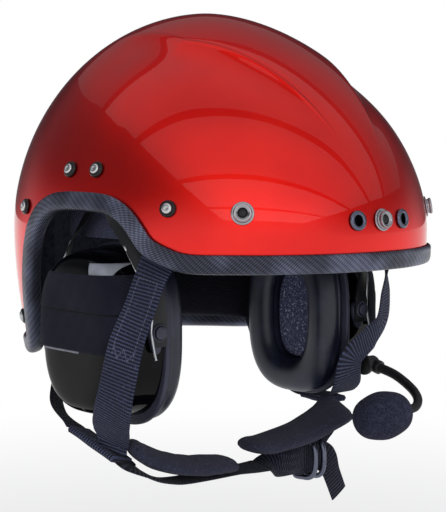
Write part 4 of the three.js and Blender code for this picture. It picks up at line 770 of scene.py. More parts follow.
def make_trim():
    bearing, z = shell_edge(TRIM_STATIONS)
    zenith = zenith_at(bearing, z)
    middle = plain_dome(bearing, zenith)
    normal = dome_normal(bearing, zenith)
    along = unit(np.roll(middle[:-1], -1, 0) - np.roll(middle[:-1], 1, 0))
    along = np.vstack([along, along[:1]])
    inwards = unit(np.cross(normal, along))
    up = skin(bearing, zenith * UP_THE_WALL) - middle
    inwards *= np.where(np.sum(inwards * up, axis=1) < 0, -1, 1)[:, None]
    run = run_along(middle)
    section = curve_through(np.array(TRIM_SECTION) * MM, np.linspace(0, 1, TRIM_AROUND + 1), closed=True)
    around = run_along(section)
    count = len(bearing) - 1

    def surface(u, v):
        i = np.rint(v * count).astype(int)
        m, n = section[np.rint(u * TRIM_AROUND).astype(int)].T
        return middle[i] + inwards[i] * m[:, None] + normal[i] * n[:, None]

    def on_map(u, v):
        return (np.interp(u, np.linspace(0, 1, TRIM_AROUND + 1), around),
                np.interp(v, np.linspace(0, 1, count + 1), run))

    trim = wrapped_grid("edge_moulding", TRIM_AROUND, count, surface, woven_moulding(), uv=on_map)
    return dress(trim, ROOT, "woven_trim", "edge_trim")


# Linings.
FOAM_OUTER = 6 * MM
FOAM_INNER = 25 * MM
PAD_OUTER = 26.3 * MM
PAD_INNER = 32.3 * MM
FIT_GAP = 0.3 * MM
TRIM_LEG = 8.5 * MM
FOAM_EDGE_GAP = 4 * MM
FOAM_EAR_RISE = 44 * MM
BROW_PAD_SPAN_SHARE = 0.185
BROW_PAD_HEIGHT = 34 * MM
SIDE_LINER_SPAN_SHARES = (0.27, 0.64)
SIDE_LINER_HEIGHT = 62 * MM
SIDE_LINER_LEAN = 4 * MM
SIDE_LINER_SKIRT = 5.5 * MM
CROWN_PAD_REACH = 61 * MM
NECK_ROLL_HEIGHT = 38 * MM
NECK_ROLL_DEPTH = 16 * MM
NECK_ROLL_SPAN_SHARE = 0.335
ROLL_FOLD_SHARE = 0.05
ROLL_AROUND = 48
ROLL_SECTION_SHARES = [
    (0.12, 0), (0.03, 0.35), (0.1, 0.8), (0.5, 1), (0.88, 0.75), (1, 0.3), (0.95, 0), (0.55, 0),
]


def foam_edge_z(bearing):
    share = np.abs(bearing) / math.pi
    brow = BROW_EDGE_Z + TRIM_LEG + FOAM_EDGE_GAP
    ear = BROW_EDGE_Z + ARCH_HEIGHT + FOAM_EAR_RISE
    nape = BROW_EDGE_Z - NAPE_DROP + TRIM_LEG + FOAM_EDGE_GAP
    front = brow + (ear - brow) * smooth((share - 0.19) / 0.075)
    return front + (nape - front) * smooth((share - 0.65) / 0.1)


def make_foam():
    down = np.linspace(0, 1, 24)
    depths = np.repeat([FOAM_OUTER, FOAM_INNER], len(down))
    shares = np.concatenate([down, down[::-1]])

    def surface(u, v):
        b = (u * 2 - 1) * math.pi
        i = np.rint(v * (len(shares) - 1)).astype(int)
        return skin(b, zenith_at(b, foam_edge_z(b)) * shares[i], depths[i])

    foam = wrapped_grid("foam_shell", 160, len(shares) - 1, surface, foam_beads(), smooth_angle=0.8)
    return dress(foam, ROOT, "impact_foam", "impact_liner")


def channel(share, places, width):
    """1 off the sewn channels and 0 on them."""
    keep = np.ones_like(share)
    for place in places:
        keep *= 1 - np.exp(-(((share - place) / width) ** 2))
    return keep


def lined_pad(name, node, bearings, heights, outer, inner, material, across=(), level=(), lean=0.0):
    """A crowned pad on the dome's inside between two bearings and heights, sewn along its channels."""

    def surface(u, v):
        turn = v * 2 * math.pi
        rise = 0.5 - 0.5 * np.cos(turn)
        inside = np.where(np.sin(turn) >= 0, 1.0, 0.0)
        border = np.clip(np.minimum(u, 1 - u) * 16, 0, 1) ** 0.5
        crown = np.clip(np.abs(np.sin(turn)) * 1.5, 0, 1) ** 0.6 * border
        sewn = 0.45 + 0.55 * channel(u, across, 0.014) * channel(rise, level, 0.035)
        lift = np.where(inside > 0, crown * sewn, 0.0)
        depth = outer + lean * (1 - rise) + (inner - outer) * (0.12 + 0.84 * lift)
        z = heights[0] + (heights[1] - heights[0]) * rise
        bearing = bearings[0] + (bearings[1] - bearings[0]) * u
        return level_point(bearing, z, depth)

    pad = wrapped_grid(name, 120, 72, surface, material)
    return dress(pad, ROOT, "lining_cloth", node, padded=PAD_FILL)


def make_crown_pad(material):
    bearings = np.linspace(-math.pi, math.pi, 97)
    edge = np.array([
        bisect(0.0, math.pi / 2, lambda t, b=b: np.hypot(
            plain_dome(b, t)[0], plain_dome(b, t)[1] - SHELL_CENTRE_Y - CROWN_SETBACK) < CROWN_PAD_REACH)
        for b in bearings
    ])

    def surface(u, v):
        bearing = (u * 2 - 1) * math.pi
        rim = np.interp(bearing, bearings, edge)
        share = 1 - np.abs(2 * v - 1)
        border = np.clip((1 - share) * 8, 0, 1) ** 0.5
        crown = np.where(v > 0.5, border, 0.0)
        ring = channel(share, (0.45,), 0.03)
        spoke = channel(np.mod(u * 4, 1.0), (0.0, 1.0), 0.02 / np.maximum(share, 0.2))
        sewn = 0.5 + 0.5 * ring * np.where(share > 0.45, spoke, 1.0)
        depth = PAD_OUTER + FIT_GAP + (PAD_INNER - PAD_OUTER) * (0.08 + 0.84 * crown * sewn)
        return skin(bearing, rim * share, depth)

    pad = wrapped_grid("crown_cushion", 120, 80, surface, material)
    return dress(pad, ROOT, "lining_cloth", "crown_pad", padded=PAD_FILL)


def make_neck_roll(material):
    low = BROW_EDGE_Z - NAPE_DROP + FIT_GAP
    section = curve_through(ROLL_SECTION_SHARES, np.linspace(0, 1, ROLL_AROUND + 1), closed=True)

    def surface(u, v):
        place = u * 2 - 1
        rise, bulge = section[np.rint(v * ROLL_AROUND).astype(int)].T
        wave = 0.5 + 0.5 * np.sin(place * 26 + 3 * np.sin(place * 5))
        fold = 1 - ROLL_FOLD_SHARE * wave * np.sin(math.pi * rise) ** 2
        end = np.sqrt(np.maximum(0.09 * (1 - place**8), 1 - place**4))
        bearing = (1 + place * NECK_ROLL_SPAN_SHARE) * math.pi
        closing = np.where(np.abs(place) >= 0.9999, 0.0, 1.0)
        depth = PAD_OUTER + NECK_ROLL_DEPTH * end * np.clip(bulge, 0, 1) * fold * 0.97 * closing
        return level_point(bearing, low + (0.5 + (rise - 0.5) * 0.98) * NECK_ROLL_HEIGHT, depth)

    roll = wrapped_grid("nape_cushion", 140, ROLL_AROUND, surface, material)
    return dress(roll, ROOT, "lining_cloth", "neck_roll", padded=ROLL_FILL)


def make_linings():
    cloth = lining_fabric("lining_fabric")
    # The side linings take a much lighter copy of the lining fabric: painted light against the shade inside
    # the arch.
    side_cloth = lining_fabric("side_lining_fabric", (0.14, 0.147, 0.25))
    make_foam()
    make_crown_pad(cloth)
    low = BROW_EDGE_Z + TRIM_LEG + FOAM_EDGE_GAP + FIT_GAP
    span = BROW_PAD_SPAN_SHARE * math.pi
    lined_pad("brow_cushion", "brow_pad", (-span, span), (low, low + BROW_PAD_HEIGHT), PAD_OUTER, PAD_INNER,
              cloth, across=(0.2, 0.4, 0.6, 0.8))
    low = CUP_Z + CUP_HALF_HEIGHT + TRIM_LEG + FIT_GAP
    for name, side in SIDES:
        bearings = [side * share * math.pi for share in SIDE_LINER_SPAN_SHARES]
        lined_pad(f"side_lining_{name}", f"side_liner_{name}", bearings,
                  (low - SIDE_LINER_SKIRT, low + SIDE_LINER_HEIGHT), PAD_OUTER - FIT_GAP, PAD_INNER - FIT_GAP,
                  side_cloth, across=(0.33, 0.66), level=(0.5,), lean=SIDE_LINER_LEAN)
    make_neck_roll(cloth)


# Ear cups.
CUP_Y = -3.6 * MM
CUP_Z = -40 * MM
CUP_HALF_LENGTH = 41 * MM
CUP_HALF_HEIGHT = 52 * MM
CUP_FACE_OUT = 116 * MM
CUP_DEPTH = 35 * MM
CUP_WALL = 2.5 * MM
OVAL_POWER = 2.7
OVAL_STATIONS = 112
CUP_RINGS = 46
CUP_PROFILE_SHARES = [
    (0, 0), (0.3, 0), (0.5, 0), (0.72, 0.02), (0.82, 0.06), (0.89, 0.15), (0.935, 0.32), (0.965, 0.58),
    (0.985, 0.82), (1, 1),
]
BACKPLATE_OUT = 80.7 * MM
BACKPLATE_Z = -42 * MM
BACKPLATE_HALF_LENGTH = 43 * MM
BACKPLATE_HALF_HEIGHT = 56 * MM
# The edge of the backplate in millimetres: (behind its front face, inside its outline).
BACKPLATE_EDGE = [(0, 1.1), (0.3, 0.4), (1, 0), (2.8, 0), (3.3, 0.5), (3.4, 1.2)]
SPEAKER_HOLE = 18 * MM
CUSHION_BASE_OUT = 77 * MM
CUSHION_DEPTH = 17 * MM
CUSHION_HALF_LENGTH = 40 * MM
CUSHION_HALF_HEIGHT = 54 * MM
EAR_HALF_LENGTH = 17.5 * MM
EAR_HALF_HEIGHT = 31 * MM
CUSHION_SECTION_SHARES = [
    (0, 0.93), (0.17, 0.995), (0.24, 0.985), (0.5, 0.995), (0.82, 0.86), (0.97, 0.68), (0.99, 0.5),
    (0.93, 0.27), (0.78, 0.11), (0.5, 0.03), (0.42, 0.05), (0.3, 0.03), (0.02, 0.03), (0, 0.3),
    (0, 0.6),
]
INSERT_DEPTH = 5 * MM
INSERT_SHARES = [
    (0, 0), (0, 0.6), (0, 0.97), (0.1, 0.99), (0.5, 0.99), (0.75, 0.97), (0.93, 0.88), (0.98, 0.7),
    (0.96, 0.45), (0.99, 0.2), (0.98, 0),
]
BAND_ROWS = 40
BAND_COLUMNS = 80
BAND_COLUMN_SHARE = 0.95
BAND_BOTTOM_SHARE = -0.18
BAND_TOP_SHARE = 0.7
BAND_LIFT = 1.65 * MM
BAND_THICKNESS = 0.9 * MM
HEM_INSET = 1.6 * MM
HEM_REACH = 1.4 * MM
HEM_HEIGHT = 0.15 * MM
RIPPLE_HEIGHT = 0.072 * MM
SEAM_DIP = 0.35 * MM
SEAM_REACH = 0.7 * MM
BAND_SEAM_Z = -26 * MM


def oval_place(side, out, half_length, half_height, angle, centre_z):
    c, s = np.cos(angle), np.sin(angle)
    y = CUP_Y + half_length * np.sign(c) * np.abs(c) ** (2 / OVAL_POWER)
    z = centre_z + half_height * np.sign(s) * np.abs(s) ** (2 / OVAL_POWER)
    return np.stack([side * out + 0 * y, y, z], axis=-1)


def oval_piece(name, side, rows, material, smooth_angle=None):
    """A piece made of nested ovals; rows are (out, half length, half height, centre z)."""
    rows = np.array(rows)

    def surface(u, v):
        out, length, height, z = rows[np.rint(v * (len(rows) - 1)).astype(int)].T
        return oval_place(side, out, length, height, 2 * math.pi * u, z)

    return wrapped_grid(name, OVAL_STATIONS, len(rows) - 1, surface, material, smooth_angle)


def cup_profile(count):
    return curve_through(CUP_PROFILE_SHARES, np.linspace(0, 1, count))


def cup_surface(side, y, z, lift):
    """Places on the cup's outer face at y and z, lifted off it."""
    rows = cup_profile(200)
    length, height = (y - CUP_Y) / CUP_HALF_LENGTH, (z - CUP_Z) / CUP_HALF_HEIGHT
    size = (np.abs(length) ** OVAL_POWER + np.abs(height) ** OVAL_POWER) ** (1 / OVAL_POWER)
    depth = np.interp(size, rows[:, 0], rows[:, 1])
    step = 0.004
    slope = (np.interp(size + step, rows[:, 0], rows[:, 1]) - np.interp(size - step, rows[:, 0], rows[:, 1]))
    lean = np.arctan2(slope * CUP_DEPTH, 2 * step * CUP_HALF_LENGTH)
    out = CUP_FACE_OUT - depth * CUP_DEPTH + lift * np.cos(lean)
    steer = np.sign(length) * lift * np.sin(lean) * np.clip(np.abs(length) / np.maximum(size, 1e-6), 0, 1)
    return np.stack([side * out, y + steer, z], axis=-1)


def make_cup(name, side, looks):
    body = body_of_cup(name)
    profile = cup_profile(CUP_RINGS)
    rows = [(CUP_FACE_OUT - d * CUP_DEPTH, CUP_HALF_LENGTH * s, CUP_HALF_HEIGHT * s, CUP_Z)
            for s, d in profile]
    inner = [(out - (CUP_WALL if d < 0.99 else 0), max(length - CUP_WALL, 0), max(height - CUP_WALL, 0), z)
             for (out, length, height, z), (_, d) in zip(rows, profile)]
    cup = oval_piece(f"cup_dish_{name}", side, rows + inner[::-1], looks["gloss"], smooth_angle=0.7)
    dress(cup, body, "cup_gloss", f"cup_shell_{name}")

    rows = [(BACKPLATE_OUT - depth * MM, BACKPLATE_HALF_LENGTH - inset * MM,
             BACKPLATE_HALF_HEIGHT - inset * MM, BACKPLATE_Z) for depth, inset in BACKPLATE_EDGE]
    hole = [(out, SPEAKER_HOLE, SPEAKER_HOLE, CUP_Z) for out in (rows[0][0], rows[-1][0])]
    rows = [hole[0], *rows, hole[1], hole[0]]
    dress(oval_piece(f"cup_rim_{name}", side, rows, looks["plate"], smooth_angle=0.6), body, "fitting_black",
          f"backplate_{name}")

    section = curve_through(CUSHION_SECTION_SHARES, np.linspace(0, 1, 73), closed=True)
    rows = [(CUSHION_BASE_OUT - np.clip(h, 0, 1) * CUSHION_DEPTH,
             EAR_HALF_LENGTH + (CUSHION_HALF_LENGTH - EAR_HALF_LENGTH) * np.clip(w, 0.001, 1),
             EAR_HALF_HEIGHT + (CUSHION_HALF_HEIGHT - EAR_HALF_HEIGHT) * np.clip(w, 0.001, 1), BACKPLATE_Z)
            for h, w in section]
    seal = oval_piece(f"ear_seal_{name}", side, rows, looks["seal"])
    dress(seal, body, "leatherette", f"ear_cushion_{name}", padded=SEAL_FILL)

    rows = [(CUSHION_BASE_OUT - h * INSERT_DEPTH, (EAR_HALF_LENGTH - FIT_GAP) * s,
             (EAR_HALF_HEIGHT - FIT_GAP) * s, BACKPLATE_Z) for h, s in INSERT_SHARES]
    insert = oval_piece(f"ear_foam_{name}", side, rows, looks["speckled"])
    dress(insert, body, "speckled_foam", f"foam_insert_{name}", padded=FOAM_FILL)

    make_band(name, side, looks, body)
    make_label_and_highlight(name, side, looks, body)
    refined(f"speaker_can_{name}", f"speaker_{name}", looks["can"], CAN_BEVEL, body, "speaker_can")
    for end in ("front", "rear"):
        refined(f"pivot_plate_{end}_{name}", f"pivot_{end}_{name}", looks["fitting"], PIVOT_BEVEL, body,
                "fitting_black")


def make_band(name, side, looks, body):
    bottom, top = CUP_Z + BAND_BOTTOM_SHARE * CUP_HALF_HEIGHT, CUP_Z + BAND_TOP_SHARE * CUP_HALF_HEIGHT
    heights = np.linspace(bottom, top, BAND_ROWS + 1)
    columns = np.linspace(-1, 1, BAND_COLUMNS + 1)
    size = np.abs((heights - CUP_Z) / CUP_HALF_HEIGHT)
    reach = BAND_COLUMN_SHARE * CUP_HALF_LENGTH * (1 - size**OVAL_POWER) ** (1 / OVAL_POWER)
    turn = np.sign(columns) * (1 - (1 - np.abs(columns)) ** 1.7)
    hems = (bottom + HEM_INSET, top - HEM_INSET)

    def surface(u, v):
        row = np.rint(v * BAND_ROWS).astype(int)
        y = CUP_Y + turn[np.rint(u * BAND_COLUMNS).astype(int)] * reach[row]
        z = heights[row]
        hem = sum(np.exp(-(((z - place) / HEM_REACH) ** 2)) for place in hems)
        ripple = RIPPLE_HEIGHT * np.sin(y / MM * 0.5 + z / MM * 0.35)
        dip = -SEAM_DIP * np.exp(-(((z - BAND_SEAM_Z) / SEAM_REACH) ** 2))
        return cup_surface(side, y, z, BAND_LIFT + HEM_HEIGHT * hem + ripple + dip)

    band = wrapped_grid(f"cup_sleeve_{name}", BAND_COLUMNS, BAND_ROWS, surface, looks["band"])
    thick(band, BAND_THICKNESS, offset=0.0)
    dress(band, body, "band_cloth", f"cup_band_{name}")


# A blank label above the band, and below it a pale strip that is a painted highlight, in millimetres: (first
# y, last y, first z, last z, slant).
LABEL_AND_HIGHLIGHT_LIFT = 0.12 * MM
LABEL_AND_HIGHLIGHT_THICKNESS = 0.15 * MM
LABEL_AND_HIGHLIGHT_AREAS = [(-34, -19, -9, 3, 3), (-8, 35, -51, -46, -3)]


def make_label_and_highlight(name, side, looks, body):
    for count, (y0, y1, z0, z1, slant) in enumerate(LABEL_AND_HIGHLIGHT_AREAS):
        def surface(u, v, y0=y0, y1=y1, z0=z0, z1=z1, slant=slant):
            y = (y0 + (y1 - y0) * u + slant * v) * MM
            z = (z0 + (z1 - z0) * v) * MM
            return cup_surface(side, y, z, LABEL_AND_HIGHLIGHT_LIFT)

        label_and_highlight = wrapped_grid(f"blank_label_{count}_{name}", 24, 16, surface, looks["label_and_highlight"])
        thick(label_and_highlight, LABEL_AND_HIGHLIGHT_THICKNESS, offset=0.0)
        dress(label_and_highlight, body, "cup_gloss")


# Webbing. Rows are (out, length, height, width x, width y, width z); the first three are shares.
WEB_WIDTH = 25 * MM
REAR_WEB_WIDTH = 18 * MM
CHIN_WEB_WIDTH = 20 * MM
WEB_THICKNESS = 1.6 * MM
STRAP_ROUNDING = 0.05
BEARING_STEP = 0.02
JUNCTION_THICKNESS = 4.5 * MM
CHIN_PAD_WIDTH = 27 * MM
CHIN_PAD_THICKNESS = 9.5 * MM
WALL_GAP = 1.4 * MM
REAR_WEB_GAP = 4.1 * MM
FRONT_STITCH_HEIGHTS = (-5 * MM, -49 * MM)
FRONT_STITCH_SHARE = 0.3
FRONT_STITCH_TOOTH = 6 * MM
PATCH_STITCH_SHARE = 0.38
PATCH_STITCH_RUN = (3 * MM, 22 * MM)
PATCH_STITCH_TOOTH = 5 * MM
FRONT_STRAP_SHARES = {
    "right": [
        (0.829, -1.558, 1.135, 0.45, 0.89, 0), (0.852, -1.449, 0.942, 0.3, 0.95, 0),
        (0.89, -1.37, 0.712, 0.15, 0.99, 0), (0.945, -1.325, 0.385, 0.15, 0.99, 0),
        (1.003, -1.235, 0, 0.25, 0.97, 0), (1.027, -1.145, -0.38, 0.27, 0.96, 0),
        (1.028, -1.04, -0.67, 0.25, 0.97, 0), (0.99, -0.835, -0.92, 0.22, 0.97, 0),
        (0.935, -0.63, -1.1, 0.18, 0.98, 0), (0.911, -0.56, -1.19, 0.12, 0.98, 0),
        (0.903, -0.54, -1.285, 0.08, 0.98, 0),
    ],
    "left": [
        (0.829, -1.558, 1.135, 0.45, 0.89, 0), (0.852, -1.449, 0.942, 0.5, 0.86, 0),
        (0.873, -1.376, 0.673, 0.65, 0.76, 0), (0.879, -1.351, 0.288, 0.88, 0.47, 0),
        (0.868, -1.302, -0.096, 0.93, 0.35, 0), (0.785, -1.254, -0.308, 1, 0.1, 0),
        (0.662, -1.166, -0.558, 1, 0, 0), (0.665, -1.065, -0.827, 1, 0, 0),
        (0.728, -0.815, -1.019, 1, 0, 0), (0.772, -0.424, -1.118, 1, 0, 0),
    ],
}
REAR_STRAP_SHARES = {
    "right": [
        (0.816, 1.405, -0.385, -0.5, 0.85, 0), (0.815, 1.21, -0.673, -0.65, 0.65, -0.3),
        (0.871, 0.917, -0.981, -0.8, 0.15, -0.57), (0.892, 0.429, -1.127, -0.95, 0, -0.4),
        (0.897, 0.342, -1.157, -1, 0, -0.35),
    ],
    "left": [
        (0.816, 1.405, -0.385, -0.5, 0.85, 0), (0.815, 1.21, -0.673, -0.65, 0.65, -0.3),
        (0.862, 0.917, -0.981, -0.8, 0.15, -0.57), (0.853, 0.38, -1.183, -0.95, 0, -0.2),
        (0.847, 0.255, -1.2, -1, 0, 0),
    ],
}
JUNCTION_SHARES = {
    "right": [
        (0.897, 0.29, -1.173, 1, 0, 0.35), (0.884, -0.18, -1.29, 1, 0, 0.35),
        (0.869, -0.624, -1.414, 1, 0, 0.35),
    ],
    "left": [
        (0.845, 0.215, -1.204, 1, 0, 0), (0.815, -0.132, -1.198, 1, 0, 0),
        (0.78, -0.485, -1.192, 1, 0, 0),
    ],
}
CHIN_PAD_SHARES = {
    "right": [
        (-0.841, -0.68, -1.21, 0, 0.9, 0.4), (-0.784, -0.78, -1.335, 0, 0.93, 0.35),
        (-0.681, -0.937, -1.454, 0, 0.97, 0.25), (-0.529, -1.034, -1.538, 0, 1, 0.15),
        (-0.405, -1.059, -1.567, 0, 1, 0.1), (-0.319, -1.041, -1.588, 0, 1, 0.05),
        (-0.276, -1.034, -1.602, 0, 1, 0),
    ],
    "left": [
        (0.752, -0.546, -1.25, 0, 0.8, 0.6), (0.68, -0.78, -1.255, 0, 0.85, 0.45),
        (0.6, -0.88, -1.29, 0, 0.92, 0.35), (0.478, -0.937, -1.35, 0, 0.96, 0.25),
        (0.31, -0.985, -1.425, 0, 0.98, 0.2), (0.161, -1.01, -1.455, 0, 0.99, 0.15),
        (0, -0.985, -1.48, 0, 1, 0.1), (-0.126, -0.961, -1.45, 0, 1, 0),
    ],
}
CHIN_STRAP_SHARES = [
    (-0.866, -0.65, -1.422, 1, 0, -0.35), (-0.862, -0.75, -1.46, 1, 0.05, -0.35),
    (-0.793, -0.88, -1.565, 0.7, 0.6, -0.25), (-0.716, -0.935, -1.65, 0.4, 0.9, -0.1),
    (-0.638, -0.985, -1.685, 0, 1, 0), (-0.491, -1.034, -1.695, 0, 1, 0),
    (-0.362, -1.034, -1.702, 0, 1, 0), (-0.241, -1.034, -1.708, 0, 1, 0),
    (-0.103, -1.022, -1.724, 0, 1, 0.1), (-0.013, -1.01, -1.731, 0, 1, 0.15),
]
RING_STRAP_SHARES = [
    (0.784, -0.24, -1.33, 0.1, 1, 0.1), (0.741, -0.376, -1.41, 0.2, 0.8, 0.4),
    (0.655, -0.51, -1.538, 0.3, 0.4, 0.8), (0.552, -0.607, -1.692, 0.2, 0.1, 1),
]
GATHER_SHARES = [
    (-2.35, 0.1, 0.15, 0.95, 1.1, 1), (-2, 0.1, 0.13, 0.85, 2.6, 0.55),
    (-1.6, 0.11, 0.08, 0.85, 5.4, 0.2), (-1.2, 0.1, 0.05, 0.85, 5.6, 0), (-0.8, 0.05, 0.04, 0.9, 4, 0),
    (-0.4, 0, 0, 1, 1.4, 0), (0, 0, 0, 1, 1, 0), (0.5, 0, 0, 1, 1, 0),
]
TAIL_SHARES = [
    (0.76, 0.06, -0.22, 0.5, 0.1, 0.85), (0.95, 0.12, -0.72, 0.85, 0.25, 0.5),
    (1.175, 0.205, -1.35, 0.9, 0.26, 0.4),
]
RING_X = 42.5 * MM
RING_PITCH = 8 * MM
RING_BAR_Y = -33 * MM
RING_Z = -133 * MM
RING_DEPTH = 18 * MM
RING_CORNER_SHARE = 0.55
GATHER_DEPTH_SHARE = 0.55
RING_HALF_HEIGHT = 12.6 * MM
RING_WIRE_R = 1.8 * MM


def cup_places(side, rows):
    out, length, height = np.array(rows)[:, :3].T
    return np.stack([side * CUP_FACE_OUT * out, CUP_Y + CUP_HALF_LENGTH * length,
                     CUP_Z + CUP_HALF_HEIGHT * height], axis=-1)


def widths_of(side, rows):
    return np.array(rows)[:, 3:6] * (side, 1, 1)


def strap_section():
    """Half of the section runs over the top and half back underneath, in shares of the half sizes."""
    x = np.linspace(-1, 1, 13)
    x = np.sign(x) * np.abs(x) ** 0.8
    into_edge = np.clip((np.abs(x) - 1 + STRAP_ROUNDING) / STRAP_ROUNDING, 0, 1)
    y = np.sqrt(np.clip(1 - into_edge**2, 0, 1))
    top, under = np.stack([x, y], 1), np.stack([x[::-1], -y[::-1]], 1)
    return np.vstack([top, under[1:]])


def pad_section(piping=0.0, count=25):
    angle = np.linspace(math.pi, -math.pi, count * 2 + 1)
    c, s = np.cos(angle), np.sin(angle)
    x = np.sign(c) * np.abs(c) ** 0.75
    y = np.sign(s) * np.abs(s) ** 0.85 * (1 - piping * np.exp(-(((np.abs(x) - 0.82) / 0.07) ** 2)))
    return np.stack([x, y], 1)


def along_route(name, places, widths, sizes, section, material, steps, shape=None, angle=None):
    """A solid swept along places, (width, thickness) at each; shape(share, x, y) changes its section."""
    places = np.array(places)
    widths = np.array(widths, float)
    sizes = np.array(sizes, float)
    shares = np.linspace(0, 1, steps + 1)
    middle = curve_through(places, shares)
    step = 1e-3
    ahead, behind = np.clip(shares + step, 0, 1), np.clip(shares - step, 0, 1)
    along = unit(curve_through(places, ahead) - curve_through(places, behind))
    at_place = shares * (len(places) - 1)
    knots = np.arange(len(places))
    across = np.stack([np.interp(at_place, knots, widths[:, k]) for k in range(3)], axis=-1)
    across = unit(across - along * np.sum(across * along, axis=1, keepdims=True))
    normal = unit(np.cross(along, across))
    size = np.stack([np.interp(at_place, knots, sizes[:, k]) for k in range(2)], axis=-1) / 2
    run = run_along(middle)
    ends = np.concatenate([[0], np.arange(steps + 1), [steps]])
    total = len(ends) - 1
    around = len(section) - 1

    def surface(u, v):
        row = np.rint(v * total).astype(int)
        i = ends[row]
        x, y = section[np.rint(u * around).astype(int)].T
        y = np.where((row == 0) | (row == total), 0.0, y)
        if shape is not None:
            x, y = shape(shares[i], x, y)
        return middle[i] + across[i] * (x * size[i, 0])[:, None] + normal[i] * (y * size[i, 1])[:, None]

    def on_map(u, v):
        i = ends[np.rint(v * total).astype(int)]
        x, _ = section[np.rint(u * around).astype(int)].T
        return x * size[i, 0], run[i]

    return wrapped_grid(name, around, total, surface, material, angle, uv=on_map)


def route_run(places, z):
    """The distance along a route to where it first drops to z."""
    curve = curve_through(places, np.linspace(0, 1, 800))
    return float(run_along(curve)[np.argmax(curve[:, 2] < z)])


def box_stitches(half, first, last, tooth):
    """Rows of stitches: a long box between two distances along a strap, with a zigzag at its far end."""
    rows = [(-half, first, half, first), (-half, first, -half, last), (half, first, half, last)]
    zigzag = [(-1, 1), (-0.5, 0), (0, 1), (0.5, 0), (1, 1)]
    for (u0, v0), (u1, v1) in zip(zigzag, zigzag[1:]):
        rows.append((u0 * half, last - tooth * v0, u1 * half, last - tooth * v1))
    return rows


def webbing_piece(name, node, places, widths, width, thickness, material, steps=110, shape=None):
    sizes = [(width * SNUG, thickness * SNUG_THROUGH)] * len(places)
    strap = along_route(name, places, widths, sizes, strap_section(), material, steps, shape, STRAP_ANGLE)
    return dress(strap, ROOT, "webbing", node)


def hung_places(side, screw, spread, depths, rows):
    """Places and widths of a strap from its screw under the shell's wall down through its rows."""
    y, z = np.array(SCREW_PLACES[screw]) * MM
    bearing = side * float(bearing_at(y, z))
    start = [level_point(bearing, z + spread, depths[0]), level_point(bearing, z - spread, depths[1])]
    tangent = unit(level_point(bearing + BEARING_STEP, z) - level_point(bearing - BEARING_STEP, z))
    widths = widths_of(side, rows)
    if np.dot(tangent, widths[0]) < 0:
        tangent = -tangent
    return np.vstack([start, cup_places(side, rows)]), np.vstack([[tangent] * 2, widths])


def make_webbing(looks):
    front_depth, rear_depth = SHELL_WALL + WALL_GAP + WEB_THICKNESS, SHELL_WALL + REAR_WEB_GAP
    front_depths = (front_depth, front_depth + 2.5 * WEB_THICKNESS)
    rear_depths = (rear_depth, rear_depth + 2 * WEB_THICKNESS)
    for name, side in SIDES:
        places, widths = hung_places(side, "strap_screw_front", WEB_WIDTH / 3, front_depths,
                                     FRONT_STRAP_SHARES[name])
        first, last = (route_run(places, z) for z in FRONT_STITCH_HEIGHTS)
        stitches = box_stitches(WEB_WIDTH * FRONT_STITCH_SHARE, first, last, FRONT_STITCH_TOOTH)
        webbing_piece(f"front_web_{name}", f"front_strap_{name}", places, widths, WEB_WIDTH, WEB_THICKNESS,
                      webbing_cloth(f"front_webbing_{name}", stitches), 150)
        places, widths = hung_places(side, "nape_screw", REAR_WEB_WIDTH / 3, rear_depths,
                                     REAR_STRAP_SHARES[name])
        webbing_piece(f"rear_web_{name}", f"rear_strap_{name}", places, widths, REAR_WEB_WIDTH, WEB_THICKNESS,
                      looks["webbing"], 120)

        rows = JUNCTION_SHARES[name]
        patch = box_stitches(CHIN_WEB_WIDTH * PATCH_STITCH_SHARE, *PATCH_STITCH_RUN, PATCH_STITCH_TOOTH)
        stitched = webbing_cloth(f"patch_webbing_{name}", patch)

        def folded(share, x, y):
            return x, y * (1 - 0.16 * (np.sin(share * 9) * 0.5 + 0.5) * np.abs(x))

        webbing_piece(f"web_patch_{name}", f"strap_junction_{name}", cup_places(side, rows),
                      widths_of(side, rows), CHIN_WEB_WIDTH, JUNCTION_THICKNESS, stitched, 40, folded)

        rows = CHIN_PAD_SHARES[name]

        def plump(share, x, y):
            from_end = np.clip(np.minimum(share, 1 - share) * 9, 0, 1)
            end = 0.14 + 0.86 * np.sqrt(1 - (1 - from_end) ** 2)
            crease = 1 - 0.07 * (0.5 + 0.5 * np.sin(share * 34 + 2.2 * np.sin(share * 11 + x * 2)))
            return x * end * 0.99, y * end * crease * 0.99

        sizes = [(CHIN_PAD_WIDTH, CHIN_PAD_THICKNESS)] * len(rows)
        pad = along_route(f"chin_sleeve_{name}", cup_places(1, rows), widths_of(1, rows), sizes,
                          pad_section(0.16), looks["pad"], 110, plump)
        dress(pad, ROOT, "lining_cloth", f"chin_pad_{name}", padded=PAD_FILL)

    webbing_piece("chin_web", "chin_strap", cup_places(1, CHIN_STRAP_SHARES), widths_of(1, CHIN_STRAP_SHARES),
                  CHIN_WEB_WIDTH, WEB_THICKNESS, looks["webbing"], 140)
    make_ring_web(looks)
    make_gather(looks)


def make_ring_web(looks):
    wrap = RING_WIRE_R + FIT_GAP + WEB_THICKNESS / 2
    bend = [(RING_X + x * wrap, RING_BAR_Y + y * wrap, RING_Z)
            for x, y in ((0, 1), (-0.75, 0.7), (-1.05, 0), (-0.75, -0.7), (0, -1))]
    tail = [(RING_X + RING_PITCH, RING_BAR_Y + wrap, RING_Z), *bend,
            (RING_X + RING_PITCH + RING_WIRE_R, RING_BAR_Y - wrap, RING_Z)]
    places = np.vstack([cup_places(1, RING_STRAP_SHARES), tail])
    widths = np.vstack([widths_of(1, RING_STRAP_SHARES), [(0, 0, 1)] * len(tail)])
    webbing_piece("ring_web", "ring_strap", places, widths, CHIN_WEB_WIDTH, WEB_THICKNESS, looks["webbing"],
                  170)


